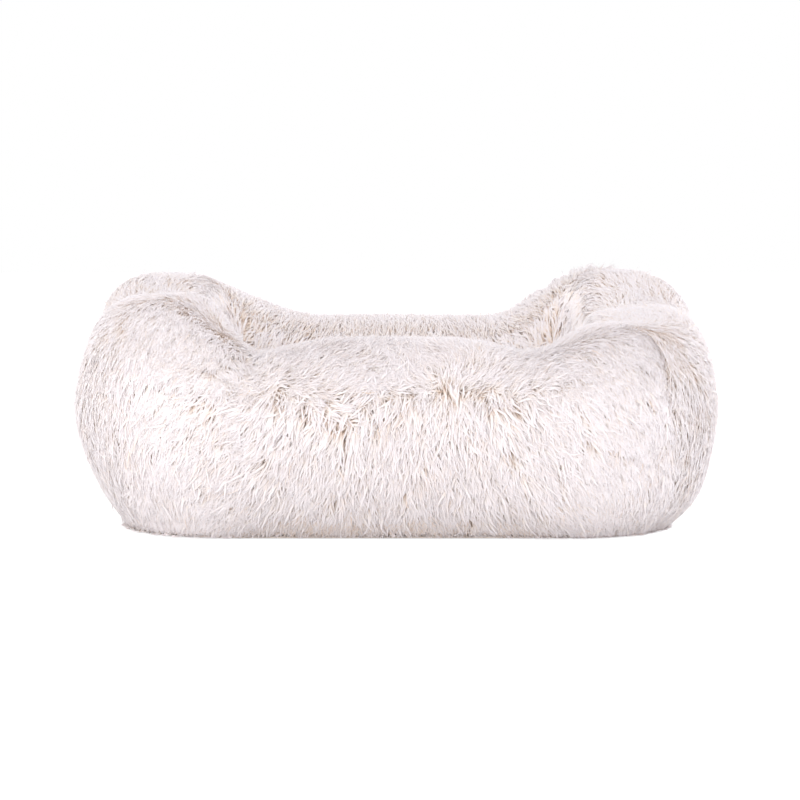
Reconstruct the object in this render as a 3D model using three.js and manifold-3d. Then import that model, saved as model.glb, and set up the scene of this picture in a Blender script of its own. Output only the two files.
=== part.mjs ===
// A rectangular nest bed for a cat or a small dog: four stuffed bolsters under a long-pile cover, a padded
// floor, a loose cushion, and a zip under the bulge of the back bolster for taking the filling out.
// Millimetres, +Z up. The front faces -Y, and the origin is on the floor under the middle of the bed.
import * as THREE from "three";
import { mergeVertices } from "three/addons/utils/BufferGeometryUtils.js";
import Module from "manifold-3d";

const wasm = await Module();
wasm.setup();

// Outside sizes, with the pile combed flat
const bedLength = 700;
const bedDepth = 570;
const bolsterThickness = 160;
const cornerRadius = 95; // of the line that runs along the middle of the bolsters

// Height of the rim in the middle of the front and the back, and how much higher it stands in the middle of
// the other two sides and at the corners, which rise like ears
const wallHeight = 212;
const leftMiddleRise = 26;
const rightMiddleRise = 22;
const frontLeftRise = 47;
const frontRightRise = 14;
const backLeftRise = 52;
const backRightRise = 58;
// Where the dip of a side ends and where its corner is at full height, as shares of the way to the corner
const frontDipShares = [0.6, 0.98];
const shortDipShares = [0.2, 0.85];
// The back climbs later and more gently towards its corners, and the left side earlier towards the back
const backToLeftDipShares = [0.33, 1.18];
const backToRightDipShares = [0.43, 1];
const leftToBackDipShares = [0.1, 0.8];

// Clearances: soft pieces that touch, and sewn edges that meet
const layerGap = 0.4;
const seamGap = 0.4;
const cutOverrun = 6; // how far a cutter runs past what it cuts

// Cloth, pile and filling
const pileThickness = 14; // backing cloth with its pile combed flat
const bagWall = 1.5; // non-woven bag that holds the filling of one bolster
const baseClothThickness = 1.8;
const gripDotHeight = 1.2;
const gripDotDiameter = 12;
const gripDotPitch = 66;
const gripDotMargin = 20; // from the edge of the base cloth to the outermost dots
const padThickness = 21.5;
const liningThickness = 1.5;

// One half of a bolster's section, from its foot to its crest: shares of half the thickness, and of the height
const sectionShares = [
  [0.38, 0],
  [0.64, 0.115],
  [0.8, 0.22],
  [0.925, 0.35],
  [1, 0.49],
  [1, 0.6],
  [0.93, 0.73],
  [0.82, 0.845],
  [0.66, 0.935],
  [0.42, 0.988],
];

// Cushion
const cushionClearance = 4; // to the bolsters at their widest
const cushionCornerRadius = 42;
const cushionDrawIn = 5; // how far the middle of a side lies inside the line between its corners
const cushionPile = 12;
const cushionCloth = 1.5;
const cushionHeight = 60;
const cushionSeamShare = 0.36; // height of the seam, as a share of the cushion's height
// From the crown to the seam, and from the seam to the underside: shares of the outline and of that rise
const crownShares = [
  [0, 1],
  [0.3, 0.975],
  [0.55, 0.89],
  [0.75, 0.72],
  [0.9, 0.45],
  [0.975, 0.2],
  [1, 0],
];
const undersideShares = [
  [1, 1],
  [0.985, 0.5],
  [0.94, 0.12],
  [0.88, 0],
  [0, 0],
];

// Zip
const zipLength = 330; // of the tapes
const zipEndAllowance = 10; // tape past the teeth at each end
const zipDepth = 4; // of the tapes below the cover's outer face
const zipTapeThickness = 0.8;
const upperTapeWidth = 12;
const zipWebGap = 1.2; // between the two rows, where the slider's web runs
const zipRowWidth = 2.4;
const zipRowHeight = 1.6;
const zipGap = 0.3; // between a tape, its row and the slider
const zipStopLength = 3;
const sliderLength = 11;
const sliderPlate = 1.1;
const sliderFlange = 0.9;
const sliderWebWidth = 0.6;
const sliderWebLength = 3.2;
const bailLength = 7.8;
const bailWidth = 2;
const bailBar = 1;
const bailClearHeight = 2;
const pullBar = 1.2;
const pullSideClearance = 0.4;
const pullArm = 2;
const pullWindow = 5; // from the pivot to the far end of the window
const pullLength = 11.5; // from the pivot to the tip

// Care label, a folded strip sewn in at the foot of the right bolster
const labelWidth = 30;
const labelLength = 24;
const labelPly = 0.5;
const labelFold = 0.5; // free space between its two plies

// Steps of the faceted surfaces
const cornerSteps = 3; // of half a corner
const runSteps = 6;
const cushionSideSteps = 4;
const dotSides = 8;

// Worked out from the sizes above
const halfThickness = bolsterThickness / 2;
const middleX = bedLength / 2 - halfThickness; // from the origin to the line along the side bolsters
const middleY = bedDepth / 2 - halfThickness;
const baseTop = gripDotHeight + baseClothThickness;
const bolsterSeat = baseTop + layerGap;
const footReach = sectionShares[0][0] * halfThickness; // of a bolster's foot from its middle line
const rimHeights = {
  front: wallHeight,
  back: wallHeight,
  left: wallHeight + leftMiddleRise,
  right: wallHeight + rightMiddleRise,
};
const cornerHeights = {
  frontLeft: wallHeight + frontLeftRise,
  frontRight: wallHeight + frontRightRise,
  backLeft: wallHeight + backLeftRise,
  backRight: wallHeight + backRightRise,
};
const lowestRim = Math.min(...Object.values(rimHeights), ...Object.values(cornerHeights));

const colours = {
  pile: 0xf1e6e2,
  cloth: 0xd9cbbf,
  filling: 0xf6f5f2,
  baseCloth: 0xb9aca0,
  zipTape: 0xe8ddd3,
  zipMetal: 0xb9b8b5,
  label: 0xf7f5f1,
};

function named(name, geometry, colour, roughness = 0.95, metalness = 0) {
  const material = new THREE.MeshStandardMaterial({ color: colour, roughness, metalness });
  const mesh = new THREE.Mesh(geometry, material);
  mesh.name = name;
  return mesh;
}

function geometryOf(points, triangles) {
  const geometry = new THREE.BufferGeometry();
  geometry.setAttribute("position", new THREE.Float32BufferAttribute(points.flatMap((p) => p.toArray()), 3));
  geometry.setIndex(triangles);
  return geometry;
}

function solidOf(geometry) {
  const bare = geometry.clone();
  bare.deleteAttribute("normal");
  bare.deleteAttribute("uv");
  const merged = mergeVertices(bare);
  return new wasm.Manifold(
    new wasm.Mesh({
      numProp: 3,
      vertProperties: new Float32Array(merged.attributes.position.array),
      triVerts: new Uint32Array(merged.index.array),
    }),
  );
}

function fromSolid(solid) {
  const mesh = solid.getMesh();
  const geometry = new THREE.BufferGeometry();
  geometry.setAttribute("position", new THREE.BufferAttribute(new Float32Array(mesh.vertProperties), 3));
  geometry.setIndex(new THREE.BufferAttribute(new Uint32Array(mesh.triVerts), 1));
  return geometry;
}

// A box between two corners
function boxBetween(low, high) {
  const size = high.map((value, axis) => value - low[axis]);
  const box = new THREE.BoxGeometry(...size);
  box.translate(...low.map((value, axis) => value + size[axis] / 2));
  return box;
}

// The faces between loops of points, each turning right-handed about the way to the next one. A closed loop
// runs on from its last point to its first.
function skinTriangles(loopCount, pointCount, first, { inward = false, closed = true } = {}) {
  const triangles = [];
  for (let i = 0; i + 1 < loopCount; i++) {
    for (let j = 0; j < (closed ? pointCount : pointCount - 1); j++) {
      const a = first + i * pointCount + j;
      const b = first + i * pointCount + ((j + 1) % pointCount);
      const c = a + pointCount;
      const d = b + pointCount;
      triangles.push(...(inward ? [a, c, b, b, c, d] : [a, b, c, b, d, c]));
    }
  }
  return triangles;
}

// A solid through closed loops of points; flatLoops are the first and last loop in their own planes
function loft(loops, flatLoops) {
  const count = loops[0].length;
  const triangles = skinTriangles(loops.length, count, 0);
  const last = (loops.length - 1) * count;
  for (const [a, b, c] of THREE.ShapeUtils.triangulateShape(flatLoops[0], [])) {
    triangles.push(a, c, b);
  }
  for (const [a, b, c] of THREE.ShapeUtils.triangulateShape(flatLoops[1], [])) {
    triangles.push(last + a, last + b, last + c);
  }
  return geometryOf(loops.flat(), triangles);
}

// A wall between loops outside and loops inside. It is a tube where they are closed, and a gutter, its rims
// at the loops' ends, where they are open.
function wallLoft(outside, inside, closed) {
  const count = outside[0].length;
  const start = outside.length * count; // of the points inside
  const last = start - count;
  const triangles = [
    ...skinTriangles(outside.length, count, 0, { closed }),
    ...skinTriangles(inside.length, count, start, { inward: true, closed }),
  ];
  for (let j = 0; j < (closed ? count : count - 1); j++) {
    const next = (j + 1) % count;
    triangles.push(j, start + j, next, next, start + j, start + next);
    const end = start + last;
    triangles.push(last + j, last + next, end + j, last + next, end + next, end + j);
  }
  for (let i = 0; !closed && i + 1 < outside.length; i++) {
    const a = i * count;
    const b = a + count;
    triangles.push(a, b, start + a, b, start + b, start + a);
    const c = b - 1;
    const d = c + count;
    triangles.push(c, start + c, d, d, start + c, start + d);
  }
  return geometryOf([...outside, ...inside].flat(), triangles);
}

// A bolster's outer face as a line from its outer foot over the crest to its inner foot.
// x is the way outwards from the middle line, and y the height.
function sectionLine(height) {
  const rise = height - bolsterSeat;
  const outer = sectionShares.map(
    ([across, up]) => new THREE.Vector2(across * halfThickness, bolsterSeat + up * rise),
  );
  const inner = outer.map((p) => new THREE.Vector2(-p.x, p.y)).reverse();
  return [...outer, new THREE.Vector2(0, height), ...inner];
}

// The same line moved inwards, with both ends brought down to the level of floorHeight
function insetLine(line, distance, floorHeight) {
  const moved = line.map((point, i) => {
    const before = line[Math.max(i - 1, 0)];
    const after = line[Math.min(i + 1, line.length - 1)];
    const way = after.clone().sub(before).normalize();
    return new THREE.Vector2(point.x - way.y * distance, point.y + way.x * distance);
  });
  const last = moved.length - 1;
  for (const [end, next] of [[0, 1], [last, last - 1]]) {
    const slope = moved[end].clone().sub(moved[next]);
    moved[end].addScaledVector(slope, (floorHeight - moved[end].y) / slope.y);
  }
  return moved;
}

// Each side runs along its own x, with y outwards, and is then turned into place
const quarterTurn = Math.PI / 2;
const longRun = middleX - cornerRadius;
const shortRun = middleY - cornerRadius;
const sides = {
  back: {
    turn: 0,
    reach: middleY,
    halfRun: longRun,
    from: { corner: "backLeft", dipShares: backToLeftDipShares },
    to: { corner: "backRight", dipShares: backToRightDipShares },
  },
  left: {
    turn: quarterTurn,
    reach: middleX,
    halfRun: shortRun,
    from: { corner: "frontLeft", dipShares: shortDipShares },
    to: { corner: "backLeft", dipShares: leftToBackDipShares },
  },
  front: {
    turn: 2 * quarterTurn,
    reach: middleY,
    halfRun: longRun,
    from: { corner: "frontRight", dipShares: frontDipShares },
    to: { corner: "frontLeft", dipShares: frontDipShares },
  },
  right: {
    turn: -quarterTurn,
    reach: middleX,
    halfRun: shortRun,
    from: { corner: "backRight", dipShares: shortDipShares },
    to: { corner: "frontRight", dipShares: shortDipShares },
  },
};

// Places along one side from the middle of one corner to the middle of the next, with the rim's height there
function stationsOf(sideName) {
  const { reach, halfRun, from, to } = sides[sideName];
  const halfCorner = quarterTurn / 2;
  const wayToCorner = halfRun + cornerRadius * halfCorner;
  const heightAt = (along) => {
    const { corner, dipShares } = along < 0 ? from : to;
    const share = THREE.MathUtils.smoothstep(Math.abs(along) / wayToCorner, ...dipShares);
    const full = THREE.MathUtils.smoothstep(1, ...dipShares); // the corner is where the side ends
    return THREE.MathUtils.lerp(rimHeights[sideName], cornerHeights[corner], share / full);
  };
  const stations = [];
  for (let i = -cornerSteps; i <= runSteps + cornerSteps; i++) {
    const onRun = THREE.MathUtils.clamp(i / runSteps, 0, 1);
    const past = i < 0 ? i / cornerSteps : Math.max(i - runSteps, 0) / cornerSteps;
    const angle = past * halfCorner;
    const straight = (2 * onRun - 1) * halfRun;
    const out = new THREE.Vector2(Math.sin(angle), Math.cos(angle));
    const place = new THREE.Vector2(straight, reach - cornerRadius).addScaledVector(out, cornerRadius);
    if (Math.abs(past) === 1) {
      // The sewn edges of two sides leave a narrow gap between them
      const along = new THREE.Vector2(Math.cos(angle), -Math.sin(angle));
      place.addScaledVector(along, (-Math.sign(past) * seamGap) / 2);
    }
    stations.push({ place, out, height: heightAt(straight + angle * cornerRadius) });
  }
  return stations;
}

// The points of a section set up at a station
function setUp(section, station, turn) {
  return section.map((p) => {
    const place = station.place.clone().addScaledVector(station.out, p.x);
    place.rotateAround(new THREE.Vector2(), turn);
    return new THREE.Vector3(place.x, place.y, p.y);
  });
}

// The loops of points that a line drawn at each station of a side makes
function loopsAlong(sideName, lineOf) {
  const { turn } = sides[sideName];
  return stationsOf(sideName).map((station) => setUp(lineOf(sectionLine(station.height)), station, turn));
}

function furPanel(sideName) {
  const outside = loopsAlong(sideName, (line) => line);
  const inside = loopsAlong(sideName, (line) => insetLine(line, pileThickness, bolsterSeat));
  return wallLoft(outside, inside, false);
}

// The bag is a sleeve, open at both ends, where it is tied off
function fillingBag(sideName) {
  const outer = pileThickness + layerGap;
  const inner = outer + bagWall;
  const outside = loopsAlong(sideName, (line) => insetLine(line, outer, bolsterSeat));
  const inside = loopsAlong(sideName, (line) => insetLine(line, inner, bolsterSeat + bagWall));
  return wallLoft(outside, inside, true);
}

function bolsterFilling(sideName) {
  const inset = pileThickness + layerGap + bagWall + layerGap;
  const stations = stationsOf(sideName);
  const flatLoop = ({ height }) => insetLine(sectionLine(height), inset, bolsterSeat + bagWall + layerGap);
  const loops = stations.map((station) => setUp(flatLoop(station), station, sides[sideName].turn));
  return loft(loops, [flatLoop(stations[0]), flatLoop(stations.at(-1))]);
}

// A rounded rectangle whose sides can be drawn in between the corners
function roundedOutline(halfX, halfY, radius, drawIn = 0) {
  const points = [];
  const sideSteps = drawIn ? cushionSideSteps : 1;
  const steps = 2 * cornerSteps;
  for (let quarter = 0; quarter < 4; quarter++) {
    const angle = quarter * quarterTurn;
    const [reach, run] = quarter % 2 ? [halfY, halfX - radius] : [halfX, halfY - radius];
    const put = (x, y) => points.push(new THREE.Vector2(x, y).rotateAround(new THREE.Vector2(), angle));
    for (let i = 0; i < sideSteps; i++) {
      const share = (2 * i) / sideSteps - 1;
      put(reach - drawIn * (1 - share * share), share * run);
    }
    for (let i = 0; i < steps; i++) {
      const turned = (i / steps) * quarterTurn;
      put(reach - radius + radius * Math.cos(turned), run + radius * Math.sin(turned));
    }
  }
  return points;
}

// A solid between stacked outlines, lowest first
function stacked(levels) {
  const loops = levels.map(({ outline, height }) => outline.map((p) => new THREE.Vector3(p.x, p.y, height)));
  return loft(loops, [levels[0].outline, levels.at(-1).outline]);
}

// How far the lowest stretch of the lowest bolster's face lies from its middle line, at a height
function reachAt(height) {
  const [foot, next] = sectionLine(lowestRim);
  return THREE.MathUtils.mapLinear(Math.max(height, foot.y), foot.y, next.y, foot.x, next.x);
}

// The outline of the space between the bolsters at a height
function nestOutline(height) {
  const inwards = reachAt(height) + layerGap;
  return roundedOutline(middleX - inwards, middleY - inwards, cornerRadius - inwards);
}

function basePanel() {
  const halfX = middleX + footReach;
  const halfY = middleY + footReach;
  const outline = roundedOutline(halfX, halfY, cornerRadius + footReach);
  let solid = solidOf(
    stacked([
      { outline, height: gripDotHeight },
      { outline, height: baseTop },
    ]),
  );
  const columns = Math.floor((halfX - gripDotMargin) / gripDotPitch);
  const rows = Math.floor((halfY - gripDotMargin) / gripDotPitch);
  const dotRadius = gripDotDiameter / 2;
  const rooted = baseTop - gripDotHeight;
  for (let column = -columns; column <= columns; column++) {
    for (let row = -rows; row <= rows; row++) {
      const x = column * gripDotPitch;
      const y = row * gripDotPitch;
      const pastX = Math.max(Math.abs(x) - (halfX - cornerRadius - footReach), 0);
      const pastY = Math.max(Math.abs(y) - (halfY - cornerRadius - footReach), 0);
      if (Math.hypot(pastX, pastY) > cornerRadius + footReach - gripDotMargin) {
        continue;
      }
      const dotHeight = gripDotHeight + rooted / 2;
      const dot = new THREE.CylinderGeometry(dotRadius, dotRadius, dotHeight, dotSides);
      dot.rotateX(quarterTurn);
      dot.translate(x, y, dotHeight / 2);
      solid = solid.add(solidOf(dot));
    }
  }
  return fromSolid(solid);
}

const padBottom = baseTop + layerGap;
const padTop = padBottom + padThickness;
const liningBottom = padTop + layerGap;
const liningTop = liningBottom + liningThickness;

function basePad() {
  return stacked([padBottom, padTop].map((height) => ({ outline: nestOutline(height), height })));
}

function floorLining() {
  return stacked([liningBottom, liningTop].map((height) => ({ outline: nestOutline(liningTop), height })));
}

// Cushion
const cushionBottom = liningTop + layerGap;
const cushionSeam = cushionBottom + cushionSeamShare * cushionHeight;
const cushionHalfX = middleX - halfThickness - cushionClearance;
const cushionHalfY = middleY - halfThickness - cushionClearance;

// A closed solid from rings, each an outline scaled by a share and set at a height. The first and the last
// ring are points on the axis.
function ringed(rings) {
  const [first, ...loops] = rings;
  const last = loops.pop();
  const count = first.outline.length;
  const points = [new THREE.Vector3(0, 0, first.height)];
  for (const { outline, share, height } of loops) {
    points.push(...outline.map((p) => new THREE.Vector3(p.x * share, p.y * share, height)));
  }
  points.push(new THREE.Vector3(0, 0, last.height));
  const lastLoop = 1 + (loops.length - 1) * count;
  const triangles = skinTriangles(loops.length, count, 1, { inward: true });
  for (let j = 0; j < count; j++) {
    const next = (j + 1) % count;
    triangles.push(0, 1 + j, 1 + next);
    triangles.push(lastLoop + j, points.length - 1, lastLoop + next);
  }
  return geometryOf(points, triangles);
}

const cushionOutline = (inset) =>
  roundedOutline(cushionHalfX - inset, cushionHalfY - inset, cushionCornerRadius - inset, cushionDrawIn);

// The cushion's crown moved inwards, from its middle down to the level of its seam
function crownRings(inset, seamHeight) {
  const rise = cushionBottom + cushionHeight - inset - seamHeight;
  const outline = cushionOutline(inset);
  return crownShares.map(([share, up]) => ({ outline, share, height: seamHeight + up * rise }));
}

// Its underside moved inwards, from the seam to the middle
function undersideRings(inset) {
  const low = cushionBottom + inset;
  const outline = cushionOutline(inset);
  return undersideShares.map(([share, up]) => ({
    outline,
    share,
    height: THREE.MathUtils.lerp(low, cushionSeam - seamGap / 2, up),
  }));
}

function cushionPieces() {
  const furSeam = cushionSeam + seamGap / 2;
  const top = ringed([...crownRings(0, furSeam), ...crownRings(cushionPile, furSeam).reverse()]);
  const underside = ringed([...undersideRings(cushionCloth).reverse(), ...undersideRings(0)]);
  const filling = ringed([
    ...crownRings(cushionPile + layerGap, furSeam - seamGap),
    ...undersideRings(cushionCloth + layerGap),
  ]);
  return [
    named("cushion_fur_top", top, colours.pile),
    named("cushion_base_cloth", underside, colours.cloth),
    named("cushion_filling", filling, colours.filling),
  ];
}

// The zip lies along the lowest stretch of the back bolster's outer face. In its own frame x runs along the
// zip, y up that slope, and z out of it.
const [slopeFoot, slopeHead] = sectionLine(rimHeights.back);
const slopeWay = slopeHead.clone().sub(slopeFoot);
const slopeMiddle = slopeFoot.clone().lerp(slopeHead, 1 / 2);
const slopeAngle = slopeWay.angle();
const zipHalf = zipLength / 2;
const rowHalf = zipHalf - zipEndAllowance;
const rowBottom = zipTapeThickness / 2 + zipGap;
const rowTop = rowBottom + zipRowHeight;
const rowOuter = zipWebGap / 2 + zipRowWidth;
const plateBottom = rowTop + zipGap;
const plateTop = plateBottom + sliderPlate;
const stopTop = plateBottom + sliderPlate / 2; // high enough for the slider's plate to meet it
const pullPivot = plateTop + bailClearHeight / 2;
const sliderRest = rowHalf - sliderLength / 2 - seamGap;

// A group that carries what is built in the zip's frame
function zipFrame() {
  const frame = new THREE.Group();
  const along = new THREE.Vector3(-1, 0, 0);
  const up = new THREE.Vector3(0, slopeWay.x, slopeWay.y).normalize();
  const outwards = along.clone().cross(up);
  frame.quaternion.setFromRotationMatrix(new THREE.Matrix4().makeBasis(along, up, outwards));
  frame.position.set(0, middleY + slopeMiddle.x, slopeMiddle.y);
  frame.updateMatrixWorld(true);
  return frame;
}

// A box given from the middle of the tapes' thickness, which lie at zipDepth below the cover's face
function zipBox(low, high) {
  return boxBetween([low[0], low[1], low[2] - zipDepth], [high[0], high[1], high[2] - zipDepth]);
}

function backPanelWithZipNotch() {
  const notch = boxBetween(
    [-zipHalf - seamGap, -slopeWay.length() - cutOverrun, -pileThickness - cutOverrun],
    [zipHalf + seamGap, zipWebGap / 2 + upperTapeWidth + seamGap, cutOverrun],
  );
  notch.applyMatrix4(zipFrame().matrixWorld);
  return fromSolid(solidOf(furPanel("back")).subtract(solidOf(notch)));
}

// The lower tape reaches down to the base cloth
function lowerTapeWidth() {
  const faceRise = (zipDepth - zipTapeThickness / 2) * Math.cos(slopeAngle);
  return (slopeMiddle.y + faceRise - bolsterSeat) / Math.sin(slopeAngle) - zipWebGap / 2;
}

function zipSlider() {
  const half = sliderLength / 2;
  const wide = rowOuter + zipGap + sliderFlange;
  const under = -zipTapeThickness / 2 - zipGap;
  const webHalf = sliderWebWidth / 2;
  const bailHalf = bailLength / 2;
  const bailInner = bailHalf - bailBar;
  const bailTop = plateTop + bailClearHeight + bailBar;
  const arch = zipBox([-bailHalf, -bailWidth / 2, plateBottom], [bailHalf, bailWidth / 2, bailTop]);
  const archOpening = zipBox(
    [-bailInner, -bailWidth, plateTop],
    [bailInner, bailWidth, plateTop + bailClearHeight],
  );
  const blocks = [
    zipBox([-half, -wide, plateBottom], [half, wide, plateTop]),
    zipBox([-half, -wide, under - sliderPlate], [half, wide, under]),
    zipBox([half - sliderWebLength, -webHalf, under - sliderPlate], [half, webHalf, plateTop]),
    zipBox([-half, rowOuter + zipGap, rowBottom], [half, wide, plateTop]),
    zipBox([-half, -wide, rowBottom], [half, -rowOuter - zipGap, plateTop]),
  ];
  let solid = solidOf(arch).subtract(solidOf(archOpening));
  for (const block of blocks) {
    solid = solid.add(solidOf(block));
  }
  const geometry = fromSolid(solid);
  geometry.translate(sliderRest, 0, 0);
  return geometry;
}

// The pull hangs out from the slope: a plate with a window that goes round the slider's bail
function zipPull() {
  const armInner = bailWidth / 2 + pullSideClearance;
  const armOuter = armInner + pullArm;
  const outline = new THREE.Shape();
  outline.moveTo(-armOuter, -pullBar / 2);
  outline.lineTo(armOuter, -pullBar / 2);
  outline.lineTo(armOuter, pullLength - armOuter);
  outline.absarc(0, pullLength - armOuter, armOuter, 0, Math.PI);
  outline.lineTo(-armOuter, -pullBar / 2);
  const window = new THREE.Path();
  window.moveTo(-armInner, pullBar / 2);
  window.lineTo(-armInner, pullWindow);
  window.lineTo(armInner, pullWindow);
  window.lineTo(armInner, pullBar / 2);
  outline.holes.push(window);
  const geometry = new THREE.ExtrudeGeometry(outline, {
    depth: pullBar,
    bevelEnabled: false,
    curveSegments: dotSides,
  });
  // From a plate in x and y to one that stands up in y and z, with its thickness along x
  geometry.translate(0, 0, -pullBar / 2);
  geometry.applyMatrix4(
    new THREE.Matrix4().makeBasis(
      new THREE.Vector3(0, 1, 0),
      new THREE.Vector3(0, 0, 1),
      new THREE.Vector3(1, 0, 0),
    ),
  );
  geometry.translate(sliderRest, 0, pullPivot - zipDepth);
  return geometry;
}

function zipPieces() {
  const tapeLow = -zipTapeThickness / 2;
  const tapeHigh = zipTapeThickness / 2;
  const inner = zipWebGap / 2;
  const upperTape = zipBox([-zipHalf, inner, tapeLow], [zipHalf, inner + upperTapeWidth, tapeHigh]);
  const lowerTape = zipBox([-zipHalf, -inner - lowerTapeWidth(), tapeLow], [zipHalf, -inner, tapeHigh]);
  const upperRow = zipBox([-rowHalf, inner, rowBottom], [rowHalf, rowOuter, rowTop]);
  const lowerRow = zipBox([-rowHalf, -rowOuter, rowBottom], [rowHalf, -inner, rowTop]);
  const stopStart = rowHalf + zipGap;
  const stopEnd = stopStart + zipStopLength;
  const bottomStop = zipBox([-stopEnd, -rowOuter, rowBottom], [-stopStart, rowOuter, stopTop]);
  const topStopUpper = zipBox([stopStart, inner, rowBottom], [stopEnd, rowOuter, stopTop]);
  const topStopLower = zipBox([stopStart, -rowOuter, rowBottom], [stopEnd, -inner, stopTop]);
  const frame = zipFrame();
  frame.add(
    named("zip_tape_upper", upperTape, colours.zipTape),
    named("zip_tape_lower", lowerTape, colours.zipTape),
    named("zip_teeth_upper", upperRow, colours.zipTape, 0.5),
    named("zip_teeth_lower", lowerRow, colours.zipTape, 0.5),
    named("zip_bottom_stop", bottomStop, colours.zipMetal, 0.35, 0.9),
    named("zip_top_stop_upper", topStopUpper, colours.zipMetal, 0.35, 0.9),
    named("zip_top_stop_lower", topStopLower, colours.zipMetal, 0.35, 0.9),
    named("zip_slider", zipSlider(), colours.zipMetal, 0.35, 0.9),
    named("zip_pull", zipPull(), colours.zipMetal, 0.35, 0.9),
  );
  return frame;
}

// A hairpin of thin ribbon that lies beside the base cloth's edge, its fold outwards
function careLabel() {
  const thick = 2 * labelPly + labelFold;
  const bend = thick / 2;
  const outline = new THREE.Shape();
  outline.moveTo(0, 0);
  outline.lineTo(labelLength - bend, 0);
  outline.absarc(labelLength - bend, bend, bend, -quarterTurn, quarterTurn);
  outline.lineTo(0, thick);
  outline.lineTo(0, thick - labelPly);
  outline.lineTo(labelLength - bend, thick - labelPly);
  outline.absarc(labelLength - bend, bend, bend - labelPly, quarterTurn, -quarterTurn, true);
  outline.lineTo(0, labelPly);
  outline.lineTo(0, 0);
  const ribbon = new THREE.ExtrudeGeometry(outline, {
    depth: labelWidth,
    bevelEnabled: false,
    curveSegments: cornerSteps,
  });
  ribbon.rotateX(quarterTurn);
  ribbon.translate(middleX + footReach + layerGap, labelWidth / 2, gripDotHeight);
  return ribbon;
}

const bed = new THREE.Group();
for (const sideName of Object.keys(sides)) {
  const panel = sideName === "back" ? backPanelWithZipNotch() : furPanel(sideName);
  bed.add(
    named(`${sideName}_fur_panel`, panel, colours.pile),
    named(`${sideName}_filling_bag`, fillingBag(sideName), colours.filling),
    named(`${sideName}_filling`, bolsterFilling(sideName), colours.filling),
  );
}
bed.add(
  named("base_panel", basePanel(), colours.baseCloth),
  named("base_pad", basePad(), colours.filling),
  named("floor_lining", floorLining(), colours.cloth),
  ...cushionPieces(),
  zipPieces(),
  named("care_label", careLabel(), colours.label, 0.6),
);

export default bed;
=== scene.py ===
import math

import bmesh
import bpy
import numpy as np
from mathutils import Matrix, Vector
from mathutils.bvhtree import BVHTree


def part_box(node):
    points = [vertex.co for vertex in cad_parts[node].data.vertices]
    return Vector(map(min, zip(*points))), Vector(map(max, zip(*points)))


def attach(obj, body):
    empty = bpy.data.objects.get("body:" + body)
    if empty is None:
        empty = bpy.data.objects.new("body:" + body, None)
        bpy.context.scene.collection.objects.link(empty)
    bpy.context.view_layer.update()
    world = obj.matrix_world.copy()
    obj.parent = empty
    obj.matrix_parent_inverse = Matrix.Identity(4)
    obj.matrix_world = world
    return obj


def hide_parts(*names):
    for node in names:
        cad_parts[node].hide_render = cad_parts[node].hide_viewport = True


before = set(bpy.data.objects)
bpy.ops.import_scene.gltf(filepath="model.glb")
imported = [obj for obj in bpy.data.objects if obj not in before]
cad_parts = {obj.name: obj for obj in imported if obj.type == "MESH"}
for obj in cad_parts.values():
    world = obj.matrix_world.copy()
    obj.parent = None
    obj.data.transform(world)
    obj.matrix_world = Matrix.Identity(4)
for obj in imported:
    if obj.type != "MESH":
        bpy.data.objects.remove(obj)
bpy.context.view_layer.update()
scene = bpy.context.scene
scene.view_settings.view_transform = "Standard"


def tint(red, green, blue):  # a display colour of 0 to 255 as Blender's linear colour
    parts = [c / 255 for c in (red, green, blue)]
    return tuple(c / 12.92 if c <= 0.04045 else ((c + 0.055) / 1.055) ** 2.4 for c in parts) + (1.0,)


class Wire:  # a socket that can stand in a sum; each sum adds its Math node
    def __init__(self, finish, socket):
        self.finish, self.socket = finish, socket

    def math(self, operation, *others):
        return self.finish.add("ShaderNodeMath", {"operation": operation}, dict(enumerate(others)))

    def __add__(self, other):
        return self.math("ADD", self, other)

    def __radd__(self, other):
        return self.math("ADD", other, self)

    def __sub__(self, other):
        return self.math("SUBTRACT", self, other)

    def __rsub__(self, other):
        return self.math("SUBTRACT", other, self)

    def __mul__(self, other):
        return self.math("MULTIPLY", self, other)

    def __rmul__(self, other):
        return self.math("MULTIPLY", other, self)

    def __truediv__(self, other):
        return self.math("DIVIDE", self, other)

    def __rtruediv__(self, other):
        return self.math("DIVIDE", other, self)

    def __pow__(self, other):
        return self.math("POWER", self, other)

    def floor(self):
        return self.math("FLOOR", self)

    def fract(self):
        return self.math("FRACT", self)

    def sine(self):
        return self.math("SINE", self)

    def size(self):
        return self.math("ABSOLUTE", self)

    def clip(self):  # held between 0 and 1
        return self.finish.add("ShaderNodeClamp", {}, {"Value": self})

    def step(self, start, end):  # smooth rise from 0 at start to 1 at end
        return self.finish.add(
            "ShaderNodeMapRange",
            {"interpolation_type": "SMOOTHSTEP"},
            {"Value": self, "From Min": start, "From Max": end, "To Min": 0.0, "To Max": 1.0},
        )


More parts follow.
